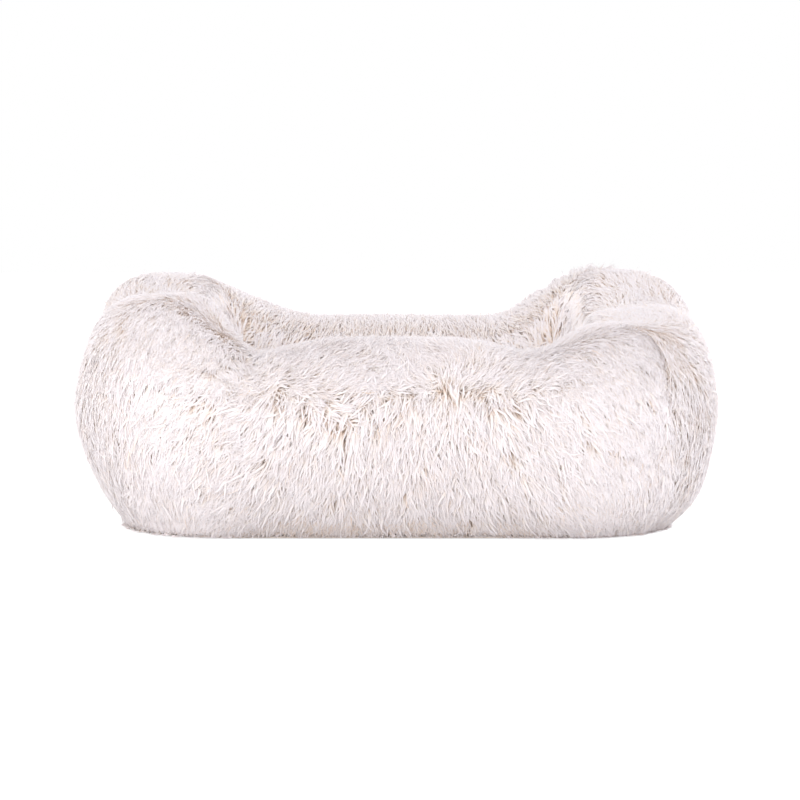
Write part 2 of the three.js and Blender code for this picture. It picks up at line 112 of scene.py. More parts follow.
class Finish:  # one material and its nodes, or those of an owner such as the world
    def __init__(self, name, owner=None, **constants):
        self.material = owner or bpy.data.materials.new(name)
        self.material.use_nodes = True
        self.tree = self.material.node_tree
        self.shader = self.tree.nodes.get("Principled BSDF")
        for socket, value in constants.items():
            self.shader.inputs[socket.replace("_", " ")].default_value = value

    def feed(self, socket, value):
        if isinstance(value, Wire):
            self.tree.links.new(value.socket, socket)
        else:
            socket.default_value = value

    def add(self, kind, settings=(), sockets=(), out=0):
        node = self.tree.nodes.new(kind)
        for name, value in dict(settings).items():
            if name == "stops":
                ramp = node.color_ramp
                while len(ramp.elements) < len(value):
                    ramp.elements.new(0.5)
                for element, (place, colour) in zip(ramp.elements, value):
                    element.position, element.color = place, colour
            else:
                setattr(node, name, value)
        for name, value in dict(sockets).items():
            self.feed(node.inputs[name], value)
        return Wire(self, node.outputs[out])

    def mix(self, share, first, second):
        return self.add("ShaderNodeMix", {"data_type": "RGBA"}, {0: share, 6: first, 7: second}, 2)

    def noise(self, place, scale, detail=2.0, rough=0.5):
        sockets = {"Vector": place, "Scale": scale, "Detail": detail, "Roughness": rough}
        return self.add("ShaderNodeTexNoise", {}, sockets)

    def place(self):
        return self.add("ShaderNodeTexCoord", {}, {}, "Object")

    def stretched(self, place, scale):
        return self.add("ShaderNodeMapping", {}, {"Vector": place, "Scale": scale})

    def split(self, place):
        node = self.add("ShaderNodeSeparateXYZ", {}, {"Vector": place}).socket.node
        return [Wire(self, node.outputs[i]) for i in range(3)]

    def join(self, x, y, z=0.0):
        return self.add("ShaderNodeCombineXYZ", {}, {"X": x, "Y": y, "Z": z})

    def unlit(self):  # 1 for the rays that see the background itself
        return sum(
            self.add("ShaderNodeLightPath", {}, {}, ray)
            for ray in ("Is Camera Ray", "Is Glossy Ray", "Is Transmission Ray")
        ).clip()

    def show(self, shader, output):
        self.tree.links.new(shader.socket, self.tree.nodes[output].inputs["Surface"])

    def wear(self, colour, roughness, height, depth):
        self.feed(self.shader.inputs["Base Color"], colour)
        if roughness is not None:
            self.feed(self.shader.inputs["Roughness"], roughness)
        bump = self.add("ShaderNodeBump", {}, {"Height": height, "Distance": depth, "Strength": 1.0})
        self.feed(self.shader.inputs["Normal"], bump)
        return self.material


def meshOf(bm, name):
    mesh = bpy.data.meshes.new(name)
    bm.to_mesh(mesh)
    bm.free()
    return mesh


def evaluatedMesh(thing):  # what its modifiers or its simulation make of it
    return bpy.data.meshes.new_from_object(thing.evaluated_get(bpy.context.evaluated_depsgraph_get()))


def placed(name, data):  # a new object in the scene
    thing = bpy.data.objects.new(name, data)
    scene.collection.objects.link(thing)
    return thing


def finished(name, form, material, slot, body="bed", stands=()):  # a visible piece, from a mesh or a bmesh
    piece = placed(name, form if isinstance(form, bpy.types.Mesh) else meshOf(form, name))
    piece.data.materials.clear()
    piece.data.materials.append(material)
    piece.data.shade_smooth()
    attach(piece, body)
    if stands:
        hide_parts(*stands)
    return piece


def thicken(piece, cloth, offset=-1):  # gives a sheet its thickness, inwards unless told otherwise
    sheet = piece.modifiers.new("cloth", "SOLIDIFY")
    sheet.thickness, sheet.offset = cloth, offset


def cutAcross(bm, place, normal, clear=False):
    geom = bm.verts[:] + bm.edges[:] + bm.faces[:]
    bmesh.ops.bisect_plane(bm, geom=geom, plane_co=place, plane_no=normal, clear_outer=clear)


def soften(bm, geom, width, steps, affect="EDGES"):
    bmesh.ops.bevel(bm, geom=geom, affect=affect, offset=width, segments=steps, profile=0.5, material=-1)


# The bed's four walls. Each runs along its own x with y pointing out, and is then turned to its side.
bedForm = {
    "cornerRadius": 0.095,
    "halfThickness": 0.080,
    "usualHeight": 0.22,  # for the lengths along the section
    "seat": 0.0034,  # height of the walls' foot over the floor
    "lowest": 0.0012,
    "section": [  # share of half thickness, share of height, from the outer foot to the crest
        (0.38, 0.0), (0.64, 0.115), (0.8, 0.22), (0.925, 0.35), (1.0, 0.49), (1.0, 0.6),
        (0.93, 0.73), (0.82, 0.845), (0.66, 0.935), (0.42, 0.988), (0.0, 1.0),
    ],
    "sectionRows": 801,
    "sectionSoftness": 61,  # rows that are averaged into one
    "lumps": 0.0022,
    "cornerCover": 0.0028,  # depth of the pile's backing at the corners
    "cornerSpan": (0.5, 0.85),  # share of the way to a corner over which a wall turns into it
    "seed": 11,
}
# ends are the heights of the corners at the start and at the end of the run, and dips say over which share of
# the way the rim falls from each. A swell is an amount, a place and spread around the wall, and a place and
# reach along it. The pile parts at parting, over blend, turns at the whorls (place, width), stands up by ears
# on the raised corners, and is left out of the bare strip (half length, upper edge), where the zip is.
walls = {
    "back": {
        "halfRun": 0.175, "offset": 0.205, "turn": 0, "rim": 0.212, "ends": (0.264, 0.270),
        "dips": ((0.33, 1.18), (0.43, 1.0)), "swells": ((0.002, 0.5, 0.12, 0, 0.14),),
        "cover": 0.0090, "ears": 0.65, "parting": 1.2, "blend": 0.01, "whorls": ((0.03, -0.06),),
        "bare": (0.174, 0.056),
    },
    "left": {
        "halfRun": 0.110, "offset": 0.270, "turn": 90, "rim": 0.238, "ends": (0.259, 0.264),
        "dips": ((0.2, 0.85), (0.1, 0.8)),
        "swells": (
            (0.003, 0.36, 0.07, 0, 0.2), (0.007, 0.22, 0.08, 0, 0.2), (0.010, 0.40, 0.07, 0.14, 0.07),
        ),
        "cover": 0.0028, "ears": 0.3, "parting": 0.30, "blend": 0.12, "whorls": ((-0.4, 0.05),),
        "bare": (0.0, 0.0),
    },
    "front": {
        "halfRun": 0.175, "offset": 0.205, "turn": 180, "rim": 0.212, "ends": (0.226, 0.259),
        "dips": ((0.6, 0.98), (0.6, 0.98)),
        "swells": (
            (0.010, 0.08, 0.08, -0.25, 0.1),
            (-0.016, 0.5, 0.12, 0.15, 0.05), (-0.016, 0.5, 0.12, -0.15, 0.05),
        ),
        "cover": 0.0090, "ears": 0.45, "parting": 0.328, "blend": 0.01,
        "whorls": ((-0.084, 0.03), (-0.004, 0.03), (0.188, 0.05)), "bare": (0.0, 0.0),
    },
    "right": {
        "halfRun": 0.110, "offset": 0.270, "turn": -90, "rim": 0.234, "ends": (0.270, 0.226),
        "dips": ((0.2, 0.85), (0.2, 0.85)),
        "swells": (
            (0.014, 0.37, 0.09, 0, 0.2), (0.005, 0.24, 0.08, 0, 0.25), (0.010, 0.08, 0.08, 0.05, 0.25),
        ),
        "cover": 0.0028, "ears": 0.3, "parting": 0.30, "blend": 0.12, "whorls": ((0.4, 0.05),),
        "bare": (0.0, 0.0),
    },
}
for number, wall in enumerate(walls.values()):
    wall["way"] = wall["halfRun"] + bedForm["cornerRadius"] * math.pi / 4
    wall["seed"] = bedForm["seed"] + number


def smoothSection():  # the softened section in even rows, and its length
    half = np.array(bedForm["section"])
    points = np.vstack([half, half[-2::-1] * (-1, 1)])
    lengths = np.diff(points * (bedForm["halfThickness"], bedForm["usualHeight"]), axis=0)
    steps = np.concatenate([[0], np.cumsum(np.linalg.norm(lengths, axis=1))])
    at = np.linspace(0, steps[-1], bedForm["sectionRows"])
    rows = np.stack([np.interp(at, steps, points[:, k]) for k in (0, 1)], axis=1)
    window = np.hanning(bedForm["sectionSoftness"])
    window /= window.sum()
    more = len(window) // 2
    padded = np.vstack([2 * rows[0] - rows[more:0:-1], rows, 2 * rows[-1] - rows[-2:-more - 2:-1]])
    soft = np.stack([np.convolve(padded[:, k], window, mode="valid") for k in (0, 1)], axis=1)
    return at / at[-1], soft, steps[-1]


sectionAt, sectionRows, sectionLength = smoothSection()
sectionSlopes = np.gradient(sectionRows, sectionAt, axis=0)


def smoothStep(x, start, end):
    t = np.clip((x - start) / (end - start), 0, 1)
    return t * t * (3 - 2 * t)


def ripple(u, v, seed, size, waves=7):  # smooth noise of about -1 to 1 with features of that size
    dice = np.random.default_rng(seed)
    total = np.zeros(np.broadcast(u, v).shape)
    for _ in range(waves):
        heading, phase, stretch = dice.uniform(0, math.tau), dice.uniform(0, math.tau), dice.uniform(0.6, 1.5)
        total += np.sin((u * math.cos(heading) + v * math.sin(heading)) * math.tau / (size * stretch) + phase)
    return total / 3.2  # brings seven waves to about 1


def reachOf(wall, along):  # 0 in the wall's middle, 1 at its ends
    return np.abs(along) / wall["way"]


def heightOf(wall, along):
    reach = reachOf(wall, along)
    first, second = (smoothStep(reach, *dip) / smoothStep(1, *dip) for dip in wall["dips"])
    end = np.where(along < 0, *wall["ends"])
    return wall["rim"] + (end - wall["rim"]) * np.where(along < 0, first, second)


def coverDepth(wall, along):  # how deep the pile's backing lies, less towards the corners
    corner = smoothStep(reachOf(wall, along), *bedForm["cornerSpan"])
    return wall["cover"] - (wall["cover"] - bedForm["cornerCover"]) * corner


# around runs from 0 at the outer foot over the crest at 0.5 to 1 at the inner foot.
def wallPoint(wall, along, around, depth=0.0):
    height = heightOf(wall, along) - bedForm["seat"]
    across = np.interp(around, sectionAt, sectionRows[:, 0]) * bedForm["halfThickness"]
    up = np.interp(around, sectionAt, sectionRows[:, 1])
    side = np.interp(around, sectionAt, sectionSlopes[:, 0] * bedForm["halfThickness"])
    rise = np.interp(around, sectionAt, sectionSlopes[:, 1]) * height
    length = np.hypot(side, rise)
    out, lift = rise / length, -side / length  # the section's own outward direction
    for amount, middle, spread, at, reach in wall["swells"]:
        depth = depth - amount * np.exp(-(((around - middle) / spread) ** 2) - ((along - at) / reach) ** 2)
    across = across - out * depth
    z = bedForm["seat"] + up * height - lift * depth
    radius, run = bedForm["cornerRadius"], wall["halfRun"]
    angle = np.clip(np.abs(along) - run, 0, None) / radius
    bent = np.sign(along) * (run + (radius + across) * np.sin(angle))
    x = np.where(np.abs(along) <= run, along, bent)
    y = wall["offset"] - radius + (radius + across) * np.cos(angle)
    turn = math.radians(wall["turn"])
    c, s = math.cos(turn), math.sin(turn)
    return np.stack([x * c - y * s, x * s + y * c, np.maximum(z, bedForm["lowest"])], axis=-1)


def wallFrame(wall, along, around):  # unit vectors along the wall, down its outside, and out of it
    d = 1e-4
    runs = wallPoint(wall, along + d, around) - wallPoint(wall, along - d, around)
    before, after = np.clip(around - d, 0, 1), np.clip(around + d, 0, 1)
    drops = wallPoint(wall, along, before) - wallPoint(wall, along, after)
    alongScale = np.linalg.norm(runs, axis=-1, keepdims=True) / (2 * d)
    aroundScale = np.linalg.norm(drops, axis=-1, keepdims=True) / (2 * d)
    runs, drops = runs / (alongScale * 2 * d), drops / (aroundScale * 2 * d)
    out = np.cross(runs, drops)
    out /= np.linalg.norm(out, axis=-1, keepdims=True)
    fromInside = wallPoint(wall, along, around) - wallPoint(wall, along, around, 0.02)
    out *= np.sign((out * fromInside).sum(-1, keepdims=True))
    return runs, drops, out, alongScale[..., 0], aroundScale[..., 0]


tubeForm = {
    "foot": 0.07,  # share of the grid that goes under the wall
    "lumpSize": 0.09, "lumpsOver": (0.02, 0.1),  # heights between which the lumps grow
    "crumpleSeed": 60,
}


def tubeOf(wall, looks):  # a grid rolled into the wall's closed form, as far inside the pile as looks say
    bm = bmesh.new()
    bmesh.ops.create_grid(bm, x_segments=looks["steps"], y_segments=looks["turns"], size=0.5)
    flat = np.array([v.co for v in bm.verts])
    foot = tubeForm["foot"]
    along = flat[:, 0] * 2 * (wall["way"] - looks["gap"])
    lap = flat[:, 1] + 0.5
    around = np.clip((lap - foot / 2) / (1 - foot), 0, 1)
    depth = looks.get("depth", coverDepth(wall, along))
    if "crumple" in looks:
        folds = ripple(along, around * sectionLength, wall["seed"] + tubeForm["crumpleSeed"], looks["size"])
        depth = depth + looks["crumple"] * (1 + folds) / 2
    places = wallPoint(wall, along, around, depth)
    outer, inner = (wallPoint(wall, along, np.full(len(lap), end), depth) for end in (0.0, 1.0))
    inFoot = (lap < foot / 2) | (lap > 1 - foot / 2)
    share = np.where(lap < 0.5, (0.5 + lap / foot), (lap - 1) / foot + 0.5)[:, None]
    places = np.where(inFoot[:, None], inner + (outer - inner) * share, places)
    lumps = bedForm["lumps"] * ripple(along, around * 0.5, wall["seed"], tubeForm["lumpSize"])
    places[:, 2] += np.where(inFoot, 0.0, lumps * smoothStep(places[:, 2], *tubeForm["lumpsOver"]))
    for vertex, spot in zip(bm.verts, places):
        vertex.co = spot
    bmesh.ops.remove_doubles(bm, verts=bm.verts, dist=1e-5)
    bmesh.ops.holes_fill(bm, edges=[e for e in bm.edges if e.is_boundary], sides=0)
    bmesh.ops.recalc_face_normals(bm, faces=bm.faces)
    return bm


print("pile backing")
backing = Finish("pileBacking", Roughness=0.95)
spot = backing.place()
knit = backing.split(backing.stretched(spot, (620, 620, 620)))
loops = (knit[0].sine() * knit[2].sine()).size()
patch = backing.noise(spot, 55, 4)
backingPaint = backing.wear(
    backing.mix(patch, tint(241, 225, 212), tint(246, 235, 226)), None, loops + patch * 0.6, 0.0006
)
coverSettings = {"cloth": 0.0012, "steps": 52, "turns": 60, "gap": 0.0003}
for name, wall in walls.items():
    tube = tubeOf(wall, coverSettings)
    cover = finished(name + "_pile_backing", tube, backingPaint, "fur", "bed", [name + "_fur_panel"])
    thicken(cover, coverSettings["cloth"])


# The pile: tapered locks with three sides, laid on the walls.
def lockTemplate(stops):  # a closed spindle 1 long, cut across at its stops
    bm = bmesh.new()
    bmesh.ops.create_cone(bm, cap_ends=True, segments=3, radius1=1, radius2=1, depth=1)
    bmesh.ops.translate(bm, verts=bm.verts, vec=(0, 0, 0.5))
    for stop in stops[1:-1]:
        cutAcross(bm, (0, 0, stop), (0, 0, 1))
    for end in (0, 1):
        ring = [v for v in bm.verts if abs(v.co.z - end) < 1e-4]
        bmesh.ops.pointmerge(bm, verts=ring, merge_co=(0, 0, end))
    bmesh.ops.triangulate(bm, faces=bm.faces)
    bmesh.ops.recalc_face_normals(bm, faces=bm.faces)
    bakeMap = bm.loops.layers.uv.new("OFBake")
    for face in bm.faces:
        middle = face.calc_center_median()
        middleTurn = math.atan2(middle.y, middle.x) / math.tau % 1
        for loop in face.loops:
            co = loop.vert.co
            onAxis = abs(co.x) + abs(co.y) < 1e-4
            share = middleTurn if onAxis else math.atan2(co.y, co.x) / math.tau % 1
            share += round(middleTurn - share)
            loop[bakeMap].uv = (min(max(share, 0), 1), co.z)
    return meshOf(bm, "lock")


toneCount = 24
lockForm = {
    "flatness": 0.3,
    "taper": ((0, 0.1, 0.35, 0.7, 1), (0, 0.72, 1, 0.7, 0)),  # places along a lock and its width there
    "column": 0.94, "margin": 0.03,  # share of its tone's column in the map that a lock takes
    "ownShade": (0.25, 0.10),  # lively and calm; the rest of the shading follows the wall, as soft fur does
    "outwards": 1.4, "upwards": 0.6,  # weights of the wall's and the lock's direction in that rest
    "underside": 0.6, "underLean": 0.8,  # which faces count as a lock's underside, and how they lean
}


def pileMesh(name, stops, spine, outs, widths, tones, calm=0.0):
    heads = np.gradient(spine, axis=1)
    heads /= np.maximum(np.linalg.norm(heads, axis=-1, keepdims=True), 1e-9)
    sides = np.cross(outs, heads)
    sides /= np.maximum(np.linalg.norm(sides, axis=-1, keepdims=True), 1e-6)
    ups = np.cross(heads, sides)
    template, count = lockTemplate(stops), len(widths)
    single = placed("single", template)
    repeat = single.modifiers.new("repeat", "ARRAY")
    repeat.count, repeat.use_relative_offset = count, False
    mesh = evaluatedMesh(single)
    rows = np.array([v.co for v in template.vertices])
    hub = np.array([template.polygons[i // 3].center for i in range(len(template.loops))])
    vertexOf = np.array([corner.vertex_index for corner in template.loops])
    underside = hub[:, 1] < -lockForm["underside"] * np.hypot(hub[:, 0], hub[:, 1])
    bpy.data.objects.remove(single)
    ring = np.abs(rows[:, 2][:, None] - stops).argmin(1)
    taper = np.interp(stops, *lockForm["taper"])[ring]
    turn = np.arctan2(rows[:, 1], rows[:, 0])[None, :, None]
    facing = sides[:, ring] * np.cos(turn) + ups[:, ring] * np.sin(turn) * lockForm["flatness"]
    spread = widths[:, None, None] * taper[None, :, None] * 0.5
    places = spine[:, ring] + spread * facing
    mesh.vertices.foreach_set("co", places.astype(np.float32).ravel())
    flat = np.zeros(len(mesh.loops) * 2, np.float32)
    mesh.uv_layers["OFBake"].uv.foreach_get("vector", flat)
    flat = flat.reshape(count, -1, 2)
    flat[:, :, 0] = (flat[:, :, 0] * lockForm["column"] + lockForm["margin"] + tones[:, None]) / toneCount
    mesh.uv_layers["OFBake"].uv.foreach_set("vector", flat.ravel())
    mesh.update()
    mesh.shade_smooth()
    lively, quiet = lockForm["ownShade"]
    own = np.broadcast_to(lively + (quiet - lively) * calm, count)[:, None, None]
    rest = outs[:, ring] * lockForm["outwards"] + ups[:, ring] * lockForm["upwards"]
    soft = (facing * own + rest * (0.5 - own / 2))[:, vertexOf]
    ringOf = ring[vertexOf]
    soft[:, underside] = (heads[:, ringOf] * lockForm["underLean"] - ups[:, ringOf])[:, underside]
    soft /= np.linalg.norm(soft, axis=-1, keepdims=True)
    mesh.normals_split_custom_set(soft.reshape(-1, 3).astype(np.float32))
    bpy.data.meshes.remove(template)
    mesh.name = name
    return mesh


evenSteps = (0.7548776662, 0.5698402910)  # steps that fill a square evenly, with no rows in it


def evenPlace(index):  # from 0 to 1 each way
    return [(0.5 + index * step) % 1 for step in evenSteps]


def scattered(wall, low, high, count, seed):  # even roots on the wall between two places around it
    dice = np.random.default_rng(seed)
    u, v = evenPlace(np.arange(count * 3))
    along = (u * 2 - 1) * wall["way"]
    around = low + v * (high - low)
    _, _, _, alongScale, aroundScale = wallFrame(wall, along, around)
    room = alongScale * aroundScale
    picked = np.flatnonzero(dice.random(len(room)) < room / room.max())
    if len(picked) > count:
        picked = np.sort(dice.permutation(picked)[:count])
    return along[picked], around[picked]


def guided(along, around, spacing, seed, cells=256):  # each root's guide: the nearest point of a shaken grid
    dice = np.random.default_rng(seed)
    u, v = along / spacing, around * sectionLength / spacing
    shake = dice.random((cells, cells, 3))
    best, chosen = np.full(len(u), np.inf), np.zeros((len(u), 3))
    cellU, cellV = np.floor(u).astype(int), np.floor(v).astype(int)
    for du in (-1, 0, 1):
        for dv in (-1, 0, 1):
            one = shake[(cellU + du) % cells, (cellV + dv) % cells]
            gu, gv = cellU + du + one[:, 0], cellV + dv + one[:, 1]
            far = np.hypot(gu - u, gv - v)
            nearer = far < best
            best = np.where(nearer, far, best)
            chosen[nearer] = np.stack([gu * spacing, gv * spacing / sectionLength, one[:, 2]], axis=1)[nearer]
    return chosen[:, 0], chosen[:, 1], chosen[:, 2]


combSettings = {  # a sway is in degrees, with the size of its waves
    "line": ((0.02, 0.13), (0.012, 0.02)), "ragged": 0.06,  # the parting's wide and small bends
    "over": (0.40, 0.49), "inside": (0.51, 0.60),  # where the pile goes over the crest, and down inside
    "fan": 30, "fanShape": 1.6, "lowerSway": (13, 0.05),
    "whorlShake": (0.02, 0.08, 0.04), "middle": (-0.2, -0.8, -0.12), "middleSway": (24, 0.06),
    "crestTurn": 0.06, "endSide": (0.55, 0.5), "endSway": (22, 0.06), "endShake": 0.12,
    "innerSway": (18, 0.05), "stand": 0.35,
}


def combed(wall, along, around, draw):  # where the pile points: real is down the outside
    comb = combSettings
    reach = np.clip(reachOf(wall, along), 0, 1)
    sign = np.where(along < 0, -1.0, 1.0)
    seed = wall["seed"] * 7
    girth = around * sectionLength

    def sway(number, degrees, size):
        return np.radians(degrees) * ripple(along, girth, seed + number, size)

    (wide, wideSize), (small, smallSize) = comb["line"]
    line = wall["parting"] + wide * ripple(along, 0 * along, seed, wideSize)
    line = line + small * ripple(along, girth, seed + 1, smallSize) + comb["ragged"] * (draw - 0.5)
    above = smoothStep(around, line - wall["blend"], line + wall["blend"])
    over, inside = smoothStep(around, *comb["over"]), smoothStep(around, *comb["inside"])
    shoulder = np.sin(np.pi * reach ** comb["fanShape"])
    fan = sign * np.radians(comb["fan"]) * shoulder * np.sign(0.5 - around)
    lower = np.exp(1j * (fan + sway(2, *comb["lowerSway"])))
    amount, size, shake = comb["whorlShake"]
    shaken = along + amount * ripple(along, girth, seed + 3, size) + shake * (draw - 0.5)
    side = np.ones(np.shape(along))
    for whorl, width in wall["whorls"]:
        side = side * np.tanh((shaken - whorl) / width)
    back, backAtWhorl, backOver = comb["middle"]
    middle = back + backAtWhorl * (1 - np.abs(side)) + backOver * over + 1j * side
    middle = middle * np.exp(1j * sway(4, *comb["middleSway"]))
    sideways = comb["endSide"][0] + comb["endSide"][1] * over
    end = np.tanh((0.5 - around) / comb["crestTurn"]) + 1j * side * sideways * shoulder
    end = end * np.exp(1j * sway(5, *comb["endSway"]))
    ends = smoothStep(reach + comb["endShake"] * (draw - 0.5), *bedForm["cornerSpan"])
    high = middle / np.abs(middle) * (1 - ends) + end / np.maximum(np.abs(end), 0.2) * ends
    inner = -np.exp(1j * sway(6, *comb["innerSway"]))
    high = high / np.maximum(np.abs(high), 0.05) * (1 - inside) + inner * inside
    flow = lower * (1 - above) + high * above
    stand = over * (1 - inside) * (comb["stand"] + wall["ears"] * ends)
    return flow / np.maximum(np.abs(flow), 0.05), above, stand, inside


pileSettings = {
    "bareGap": 0.004, "lowest": 0.0016,
    "ends": 0.002,  # share of the way around that stays free at each foot
    "sameSide": 0.4, "ownHeading": 0.45, "guideHeading": 0.55,
    "fineOver": (0.38, 0.48), "fineWidth": 0.2,  # where the pile gets fine, and how much narrower it is there
    "lengths": (0.72, 1.12), "widths": (0.75, 1.3), "hairLayers": (0.86, 1.06),
    "overhang": 1.05, "shortest": (0.014, 0.005),  # at the walls' foot, and at the bare strip
    "footFullness": (0.45, 0.55, 0.13),  # at the foot, what it gains, and up to which height
    "layers": (0.42, 0.26, 1.4), "strayRise": 0.2,
    "standUpright": 34, "standDroop": 0.7, "waves": 1.1, "reachPast": 0.02,
    "pastOut": (0.7, 0.009), "pastDown": (0.5, 0.004),  # what goes past the foot, up to a limit
    "nestProud": 0.0014, "rimProud": 0.02, "proudOver": (0.52, 0.61),  # how far it stands into the nest
    "toneSpread": 0.17, "tonePatches": (0.16, 0.05), "toneClumps": 0.22,
}


def layLocks(name, wall, low, high, count, stops, looks):
    pile = pileSettings
    seed = wall["seed"] * 100 + looks["seed"]
    dice = np.random.default_rng(seed)
    along, around = scattered(wall, low, high, count, seed)
    if "stretch" in looks:  # only part of the wall's length, as shares from its start to its end
        share = along / wall["way"] / 2 + 0.5
        kept = (share > looks["stretch"][0]) & (share < looks["stretch"][1])
        along, around = along[kept], around[kept]
    bareHalf, bareTop = wall["bare"]
    kept = (np.abs(along) > bareHalf) | (around > bareTop + pile["bareGap"])
    along, around = along[kept], around[kept]
    foot = np.where(np.abs(along) < bareHalf, bareTop, 0.0)
    count = len(along)
    guideAlong, guideAround, guideDraw = guided(along, around, looks["clump"], seed + 1)
    rootFlow, rootAbove, stand, inside = combed(wall, along, around, guideDraw)
    guideFlow, _, _, _ = combed(wall, guideAlong, np.clip(guideAround, 0, 1), guideDraw)
    sameSide = (rootFlow * np.conj(guideFlow)).real > pile["sameSide"]
    heading = np.angle(rootFlow * pile["ownHeading"] + guideFlow * pile["guideHeading"] * sameSide)
    turned = (guideDraw - 0.5) * looks["guideTurn"] + dice.normal(0, looks["stray"], count)
    heading = heading + np.radians(turned)
    fine = np.maximum(rootAbove, smoothStep(around, *pile["fineOver"])) * (1 - inside)
    length = looks["length"] * (1 - fine) + looks["shortLength"] * fine
    length = length * dice.uniform(*pile["lengths"], count)
    stray = dice.random(count) < looks["strays"]
    _, _, _, _, aroundScale = wallFrame(wall, along, around)
    shortest = np.where(foot > 0, pile["shortest"][1], pile["shortest"][0])
    toFoot = np.maximum((around - foot) * aroundScale * pile["overhang"], shortest)
    length = np.where(np.cos(heading) > 0, np.minimum(length, toFoot), length)
    fullness, gain, fullHeight = pile["footFullness"]
    fullness = fullness + gain * smoothStep(wallPoint(wall, along, around)[:, 2], 0.0, fullHeight)
    thin = dice.random(count) < looks["thinShare"]  # fine hairs among the locks
    calm = np.maximum(looks.get("calm", 0), smoothStep(reachOf(wall, along), *bedForm["cornerSpan"]))
    deepest, deepestCalm, shape = pile["layers"]
    hairLayer = dice.uniform(*pile["hairLayers"], count)
    layer = np.where(thin, hairLayer, 1 - (deepest - deepestCalm * calm) * dice.random(count) ** shape)
    lifted = 0 if "depth" in looks else wall["cover"] - coverDepth(wall, along)
    rise = (looks["rise"] - lifted) * fullness * layer * (1 + pile["strayRise"] * stray)
    wave, phase = dice.normal(0, looks["wave"], count), dice.uniform(0, math.tau, count)
    bend = dice.normal(0, looks["bend"], count)
    spots, outs = [], []
    u, v, last, past = along.copy(), around.copy(), 0.0, np.zeros(count)
    for t in stops:
        step = (t - last) * length
        middle = (t + last) / 2
        droop = np.exp(-middle * looks["droop"] * (1 - pile["standDroop"] * stand))
        upright = np.radians(looks["upright"] + pile["standUpright"] * stand) * droop
        turn = heading + bend * middle + wave * np.sin(math.tau * middle * pile["waves"] + phase)
        _, _, _, alongScale, aroundScale = wallFrame(wall, u, v)
        u = u + step * np.cos(upright) * np.sin(turn) / np.maximum(alongScale, 0.3)
        v = v - step * np.cos(upright) * np.cos(turn) / aroundScale
        past = past + np.maximum(pile["ends"] - v, 0) * aroundScale
        v = np.clip(v, foot + pile["ends"], 1 - pile["ends"])
        gather = looks["gather"] * t * t * sameSide
        farthest = wall["way"] + pile["reachPast"]
        seenU = np.clip(u + (guideAlong - along) * gather, -farthest, farthest)
        seenV = np.clip(v + (guideAround - around) * gather, pile["ends"], 1 - pile["ends"])
        depth = looks.get("depth", coverDepth(wall, seenU))
        base = wallPoint(wall, seenU, seenV, depth)
        _, _, out, _, _ = wallFrame(wall, seenU, seenV)
        climb = rise * (1 - np.exp(-t * looks["lift"])) / (1 - math.exp(-looks["lift"]))
        climb = climb + stray * t * t * looks["strayRise"] + stand * t * t * looks["standRise"]
        proud = pile["nestProud"] + pile["rimProud"] * (1 - smoothStep(seenV, *pile["proudOver"]))
        climb = np.minimum(climb, depth + proud)
        level = out * (1, 1, 0)
        level /= np.maximum(np.linalg.norm(level, axis=1, keepdims=True), 0.05)
        outwards, down = (np.minimum(past * pile[k][0], pile[k][1])[:, None] for k in ("pastOut", "pastDown"))
        spots.append(base + out * climb[:, None] + level * outwards - (0, 0, 1) * down)
        outs.append(out)
        last = t
    spine, outs = np.stack(spots, axis=1), np.stack(outs, axis=1)
    spine[..., 2] = np.maximum(spine[..., 2], pile["lowest"])
    widths = np.where(thin, looks["thinWidth"], looks["width"]) * dice.uniform(*pile["widths"], count)
    widths = widths * (1 - pile["fineWidth"] * fine)
    patches, patchSize = pile["tonePatches"]
    tone = dice.normal(looks["tone"], pile["toneSpread"], count)
    tone = tone + patches * ripple(along, around * sectionLength, seed + 8, patchSize)
    tone = np.clip(tone + pile["toneClumps"] * (guideDraw - 0.5), 0, 0.999)
    return pileMesh(name, stops, spine, outs, widths, np.floor(tone * toneCount), calm)


print("pile finish")
pile = Finish("longPile", Roughness=0.9, Specular_IOR_Level=0.15)
mapOfPile = pile.split(pile.add("ShaderNodeUVMap", {"uv_map": "OFBake"}))
column = (mapOfPile[0] * toneCount).floor()
across = (mapOfPile[0] * toneCount).fract()
strands = pile.noise(pile.join(column * 3.7 + across * 9.0, mapOfPile[1] * 1.1), 1.6, 3)
# The darker, warmer root of each lock is painted shade of the gaps between locks.
body = pile.add("ShaderNodeValToRGB", {"stops": [  # from a lock's root to its tip
    (0.0, tint(243, 210, 185)), (0.17, tint(247, 226, 210)), (0.40, tint(248, 240, 235)),
    (0.65, tint(249, 243, 244)), (1.0, tint(249, 245, 248)),
]}, {"Fac": mapOfPile[1]})
# Locks of higher tone are mixed towards tan: random tone for most, painted shade for the hem and parting
# fuzz.
warm = pile.mix((column / toneCount) ** 3.0, body, tint(237, 216, 199))
# Tan streaks along the strands draw a lock's fibres, with painted shade between them.
strandShadeStreaks = pile.mix(strands.step(0.56, 0.72) * 0.75, warm, tint(241, 210, 188))
pilePaint = pile.wear(strandShadeStreaks, 0.82 + strands * 0.15, strands, 0.0003)

